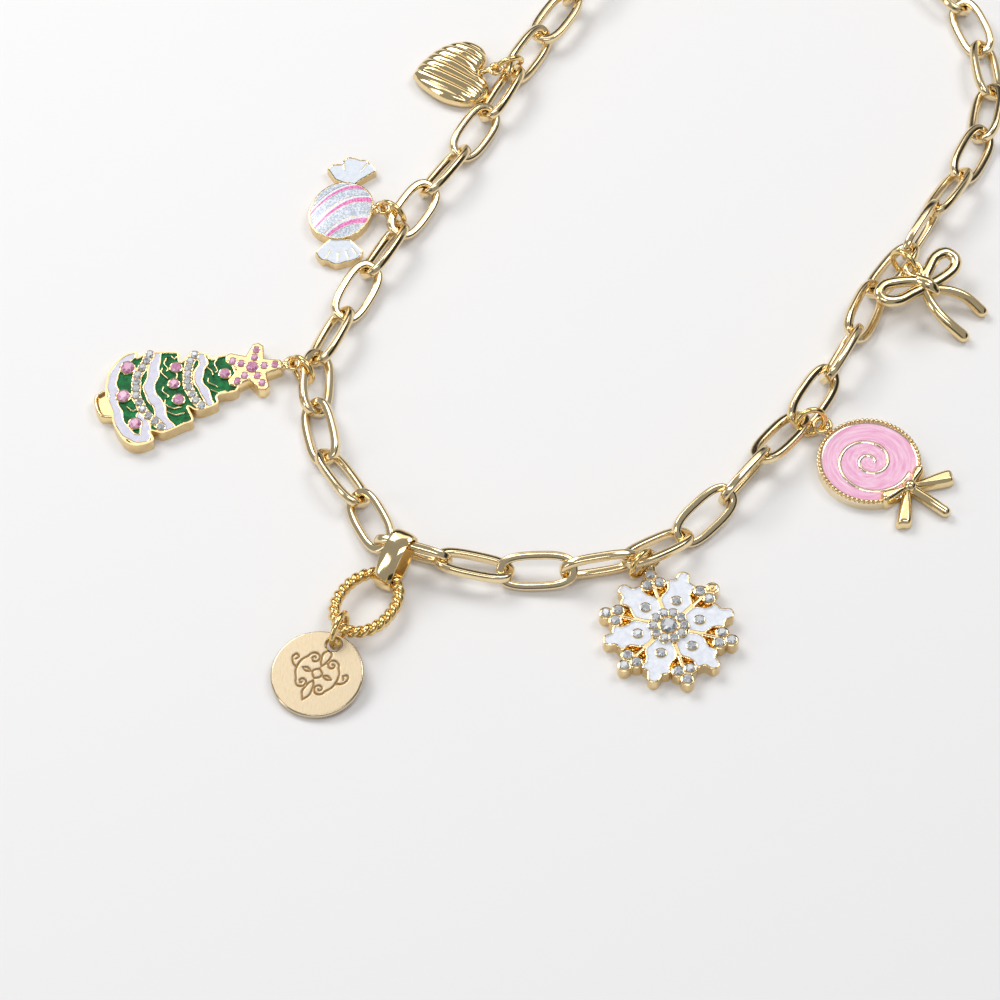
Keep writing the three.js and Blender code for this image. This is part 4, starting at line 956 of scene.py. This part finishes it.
# Gold hairlines that stand in the green like blown branches.
TREE_HAIRS = [
    [(-6.8, 13.1), (-5.7, 12.4), (-4.4, 12.8), (-3.8, 12.4)], [(-4.7, 11.8), (-3.8, 11.4), (-2.1, 12.2)],
    [(-3.0, 14.0), (-2.3, 14.1), (-1.5, 13.6)], [(-0.4, 11.0), (0.5, 10.6), (1.8, 11.4), (2.2, 11.1)],
    [(2.6, 10.6), (3.6, 10.4), (4.9, 11.5), (5.1, 13.1)], [(5.2, 10.1), (6.5, 11.6), (6.6, 13.2)],
    [(-3.9, 22.1), (-2.9, 21.4), (-1.4, 21.6), (-0.9, 21.1)], [(-2.7, 19.8), (-1.4, 20.5), (-0.5, 20.5)],
    [(0.1, 19.5), (1.0, 19.3), (2.1, 20.4), (2.5, 20.6)], [(2.8, 19.4), (3.8, 20.5), (3.9, 21.9)],
    [(-7.0, 14.1), (-6.2, 14.5), (-6.7, 15.2)], [(-6.0, 7.0), (-5.2, 6.0), (-5.4, 4.6)],
    [(2.2, 3.4), (3.4, 4.2), (3.2, 5.0)],
]
# Each pink stone as x, y and radius.
TREE_PINK_STONES = [
    (-6.6, 5.6, 1.3), (-0.4, 3.3, 1.25), (6.4, 3.9, 1.15), (-4.1, 14.3, 1.05), (-0.5, 13.0, 1.0),
    (3.3, 13.0, 1.05), (-0.1, 22.7, 1.0),
]
STAR_STONES = [
    (0.0, 27.95, 1.15), (-3.7, 29.7, 0.7), (-2.05, 28.95, 0.7), (-2.4, 24.8, 0.7), (-1.4, 26.2, 0.7),
    (0.3, 30.2, 0.7), (0.6, 32.2, 0.7), (1.5, 26.1, 0.7), (2.4, 24.5, 0.7), (2.2, 28.4, 0.7),
    (4.1, 28.8, 0.7),
]


def bands_inward(bands, points, wave=0.2):
    """How far points lie inside the nearest of some bands whose edges wave a little along their run."""
    ripple = wave * np.sin(points[:, 0] * 1.5 + 0.4) * np.cos(points[:, 1] * 1.2)
    return np.max([half - away_from(through(line, 60), points) for half, line in bands], axis=0) + ripple


def tree_layers(points, depth):
    """Signed distances of the gold and the snow on the tree's face."""
    snow = bands_inward(TREE_SNOW, points)
    gold = np.maximum(TREE["wall"] - depth, 0.16 - np.abs(snow))
    gold = np.maximum(gold, bands_inward([(GARLAND["half"], line) for line in GARLANDS], points, 0.05))
    hairs = nearest_of([through(line, 16) for line in TREE_HAIRS], points)
    return np.maximum(gold, np.where(snow > 0, -1, TREE["hair"] - hairs)), snow


def tree_face(points, depth):
    """The tree's top, sunk where there is no gold, and less so where snow fills the cell."""
    gold, snow = tree_layers(points, depth)
    sunk = TREE["cell"] - 0.16 * np.clip(snow / 0.4, 0, 1)
    return TREE["thickness"] - sunk * np.clip(-gold / 0.12, 0, 1)


def cut_stone():
    """A cut stone one unit in radius: an eight-sided table, then eight star and eight kite facets, sixteen
    facets down to the girdle, and straight sides, with every facet flat."""
    eight, sixteen = around(8), around(16)
    rings = [(0.55, 0.5, eight), (0.82, 0.34, eight + math.pi / 8), (1, 0.1, sixteen), (1, -0.5, sixteen)]
    points = np.concatenate([np.stack([r * np.cos(a), r * np.sin(a), 0 * a + z], 1) for r, z, a in rings])
    faces = [list(range(8)), list(range(32, 48))[::-1]]
    for i in range(8):
        after, low, next_low = (i + 1) % 8, 16 + 2 * i, 16 + (2 * i + 2) % 16
        faces += [[i, 8 + i, after], [i, low, 8 + i], [after, 8 + i, next_low]]
        faces += [[8 + i, low, low + 1], [8 + i, low + 1, next_low]]
        faces += [[low, low + 16, low + 17, low + 1], [low + 1, low + 17, next_low + 16, next_low]]
    return points, faces


def stones(name, charm, places, material, height, seat=0.16):
    """A set of cut stones, each in a low ring of gold wire: places are rows of x, y and radius."""
    points, faces = cut_stone()
    rows = [(np.array([x, y, height]), radius) for x, y, radius in places]
    cut = placed(charm, gather([(centre + points * radius, faces) for centre, radius in rows]))
    # Each facet gets a random share of painted reflection, from dark to bright, which its material reads.
    facets = np.random.default_rng(len(places)).random(len(cut[1]))
    piece(f"{name}_stones", cut, material, sharp=3, layers={"facet": facets})
    rings = [(centre - np.array([0, 0, 0.07]), radius + 0.6 * seat) for centre, radius in rows]
    cast(f"{name}_seats", charm, [tube(low + circle(24) * reach, seat, 8, True) for low, reach in rings])


def foiled_stone_painted_facets(name, light, deep):
    """Cut glass over foil, its facets lit by painted reflection: each facet's colour lies between a bright
    tone and a dark one by the layer called facet, and a faint cloud inside the glass softens it."""
    material, tree, shader = new_material(name, Roughness=0.05, IOR=1.7)
    facet = add_node(tree, "Attribute", {"attribute_name": "facet"}).outputs["Fac"]
    place = add_node(tree, "TexCoord").outputs["Object"]
    cloud = add_node(tree, "TexNoise", {"Scale": 1 / (0.5 * MM), "Detail": 2.0}, {"Vector": place})
    lift = add_node(tree, "MapRange", {"To Min": -0.1, "To Max": 0.3}, {"Value": cloud})
    blend = add_node(tree, "Math", {"operation": "MULTIPLY_ADD", 1: 0.8}, {0: facet, 2: lift})
    tone = add_node(tree, "MixRGB", {"Color1": linear(deep), "Color2": linear(light)}, {"Fac": blend})
    feed(tree, shader, {"Base Color": tone})
    return material


def cast_edge(height, edge=0.2):
    """A flat face at one height whose border is rounded over."""
    return lambda points, depth: height - edge * rounding(depth, edge)


def trunk_face(points, depth):
    """A rounded edge round a pan that slopes down to its floor."""
    return cast_edge(TREE["trunk"])(points, depth) - 0.7 * np.clip((depth - 0.45) / 0.3, 0, 1)


# The stones' two tones are painted reflections, a bright one and a dark one, shared out among the facets.
CLEAR_STONE = foiled_stone_painted_facets("foil_backed_clear_stone_painted_facets", "FAFBFC", "454B55")
PINK_STONE = foiled_stone_painted_facets("foil_backed_pink_stone_painted_facets", "FBCDE4", "A5407B")
GREEN_ENAMEL = enamel_in_gold(
    "green_glass_enamel_in_gold", [("", "0A8A48", "012A12"), ("snow", "E2E0EC", "D0CEDE")],
    glaze=0.06, speck=1.3, shine=0.22,
)

tree_inward = inward_of(through(TREE_OUTLINE, 260, True))
fir, grid, depth = relief(tree_inward, (-10.4, -0.6), (12.2, 25.2), 0.13, tree_face)
gold, snow = tree_layers(grid, depth)
enamelled("fir_tree", "tree", fir, GREEN_ENAMEL, ["tree"], gold=gold, snow=snow)

# The star's corners: three about each blunt tip and one in each notch, as turn in degrees and reach.
star_turn = np.radians(90 + STAR["turn"] + 72 * np.arange(5)[:, None] + np.array([-11, 0, 11, 36]))
star_reach = np.array([STAR["tip"] - STAR["blunt"], STAR["tip"], STAR["tip"] - STAR["blunt"], STAR["notch"]])
star_corners = np.stack([star_reach * np.cos(star_turn), STAR["y"] + star_reach * np.sin(star_turn)], -1)
star_inward = inward_of(star_corners.reshape(-1, 2))
star = relief(star_inward, (-6.2, 21.8), (6.2, 34.2), 0.13, cast_edge(STAR["thickness"]))[0]
trunk_inward = inward_of(through(TRUNK_OUTLINE, 60, True))
trunk = relief(trunk_inward, (-3.2, -2.6), (3.6, 2.2), 0.13, trunk_face)[0]
tree_post = tube([(0.9, 33.4, 1.6), (1.1, 34.0, 2.5)], 0.8)
cast("tree_star_and_trunk", "tree", [star, trunk, tree_post, ring_eye(1.4, 35.4, 2.8)], sharp=50)
garland_stones = [(x, y, GARLAND["stone"]) for line in GARLANDS for x, y in line]
stones("tree_garland", "tree", garland_stones, CLEAR_STONE, TREE["thickness"] + 0.1, 0.14)
stones("tree_pink", "tree", TREE_PINK_STONES, PINK_STONE, TREE["thickness"], 0.18)
stones("star", "tree", STAR_STONES, PINK_STONE, STAR["thickness"], 0.14)

# Snowflake ------------------------------------------------
# A snowflake cast in gold: six petals filled with white pearl enamel, six slender arms between them that end
# in three stones each, hammered webs sunk beside the arms, and a rosette of stones at its middle. One seat
# has lost its stone.

FLAKE = {
    "thickness": 2.6, "wall": 0.3, "cell": 0.22, "petal_turn": 14.7, "arm_turn": 45.5, "web": 1.5,
    "rib": 0.36, "seat": 1.26, "hub": 4.0, "bead_at": 5.75, "rosette": 2.75, "rosette_rise": 0.3,
}
PETAL_HALF = [
    (2.4, 0.9), (4.0, 2.2), (5.2, 2.85), (6.2, 2.85), (7.4, 2.3), (8.4, 2.3), (9.2, 2.65), (9.8, 2.3),
    (10.2, 1.4), (11.1, 1.15), (11.8, 0.9), (12.1, 0.35),
]
WEB = [(4.2, -1.4), (9.0, -2.9), (9.0, 2.9), (4.2, 1.4)]
# An arm's rib from end to end, then the stones at its tip: distance out, distance aside.
ARM = [(3.4, 0), (9.4, 0), (9.5, -1.1), (9.5, 1.1), (11.5, 0.0)]
# Radii of the stones of the arms, petals and rosette, and of the stone at the middle.
FLAKE_STONES = {"arm": 0.86, "petal": 0.85, "rosette": 0.78, "middle": 1.55}
# The seat with no stone: which arm, and which of its three.
EMPTY_SEAT = (0, 2)


def six_times(points, first):
    """Six copies of some points, turned evenly round the middle from a first heading in degrees."""
    return [turned(np.array(points), first + 60 * k) for k in range(6)]


petal_right = np.array(PETAL_HALF)
petal_loop = through(np.concatenate([petal_right * np.array([1, -1]), petal_right[::-1]]), 90, True)
petals = [inward_of(loop) for loop in six_times(petal_loop, FLAKE["petal_turn"])]
arm_ends = six_times(ARM, FLAKE["arm_turn"])
rosette_seats = FLAKE["rosette"] * circle(10)[:, :2]


def arms_inward(points):
    """The arms: a rib 0.7 mm wide and the round seats at its end, whichever lies further out."""
    ribs = [FLAKE["rib"] - away_from(ends[:2], points) for ends in arm_ends]
    seats = [FLAKE["seat"] - from_middle(points - seat) for ends in arm_ends for seat in ends[2:]]
    return np.max(ribs + seats, axis=0)


def petals_inward(points):
    """How far points lie inside the nearest petal."""
    return np.max([petal(points) for petal in petals], axis=0)


def flake_inward(points):
    """How far points lie inside the petals, the arms or the round hub."""
    return np.max([petals_inward(points), arms_inward(points), FLAKE["hub"] - from_middle(points)], axis=0)


def flake_gold(points):
    """Signed distance of the gold on the snowflake's face: petal walls, arms, rosette and bead collars."""
    rosette = np.max([1.0 - from_middle(points - seat) for seat in rosette_seats], axis=0)
    walls = FLAKE["wall"] - petals_inward(points)
    return np.max([walls, arms_inward(points), rosette, 2.4 - from_middle(points)], axis=0)


def flake_face(points, depth):
    """The flake's top, sunk where there is no gold and raised at the rosette, with a rounded edge."""
    sunk = FLAKE["cell"] * np.clip(-flake_gold(points) / 0.15, 0, 1)
    rosette = FLAKE["rosette_rise"] * np.clip((3.6 - from_middle(points)) / 0.3, 0, 1)
    return FLAKE["thickness"] - sunk + rosette - 0.1 * rounding(depth, 0.1)


def hammered(points, depth):
    """A sunk floor of small dents, about one to a millimetre."""
    return FLAKE["web"] + 0.16 * np.sin(points[:, 0] * 5.1) * np.sin(points[:, 1] * 4.7 + points[:, 0] * 1.3)


WHITE_PEARL = enamel_in_gold("white_pearl_enamel_in_gold", [("", "F3F5F9", "DADEE8")], glaze=0.1, speck=1.1)
HAMMERED_GOLD = gold_plate("hammered_deep_gold", "F0B84C", "A8640F", 0.16, 1 / (0.5 * MM), 0.0)

flake, grid, depth = relief(flake_inward, (-13.2, -13.2), (13.2, 13.2), 0.13, flake_face)
enamelled("snowflake_body", "snowflake", flake, WHITE_PEARL, ["snowflake"], gold=flake_gold(grid))
webs = [
    relief(inward_of(corners), corners.min(0) - 0.2, corners.max(0) + 0.2, 0.16, hammered, 0.1)[0]
    for corners in six_times(WEB, FLAKE["arm_turn"])
]
piece("snowflake_webs", placed("snowflake", gather(webs)), HAMMERED_GOLD, sharp=70)

arm_seats = [(k, n) for k in range(6) for n in range(3) if (k, n) != EMPTY_SEAT]
arm_stones = [(*arm_ends[k][2 + n], FLAKE_STONES["arm"]) for k, n in arm_seats]
petal_beads = six_times([(FLAKE["bead_at"], 0)], FLAKE["petal_turn"])
petal_stones = [(*bead[0], FLAKE_STONES["petal"]) for bead in petal_beads]
rosette_stones = [(x, y, FLAKE_STONES["rosette"]) for x, y in rosette_seats]
rosette_stones.append((0, 0, FLAKE_STONES["middle"]))
stones("snowflake_arm", "snowflake", arm_stones, CLEAR_STONE, FLAKE["thickness"] + 0.05)
stones("snowflake_petal", "snowflake", petal_stones, CLEAR_STONE, FLAKE["thickness"] - 0.1)
stones("snowflake_rosette", "snowflake", rosette_stones, CLEAR_STONE, FLAKE["thickness"] + 0.4, 0.14)
bare = np.array([*arm_ends[EMPTY_SEAT[0]][2 + EMPTY_SEAT[1]], FLAKE["thickness"]])
bare_seat = tube(bare + 0.8 * circle(24), 0.16, 8, True)
flake_post = tube([(-2.6, 12.3, 1.7), (-2.8, 13.0, 2.4)], 0.8)
flake_parts = [bare_seat, ball(0.38, 12, bare), flake_post, ring_eye(-2.94, 14.38, 2.75, 2.1)]
cast("snowflake_eye_and_seat", "snowflake", flake_parts)
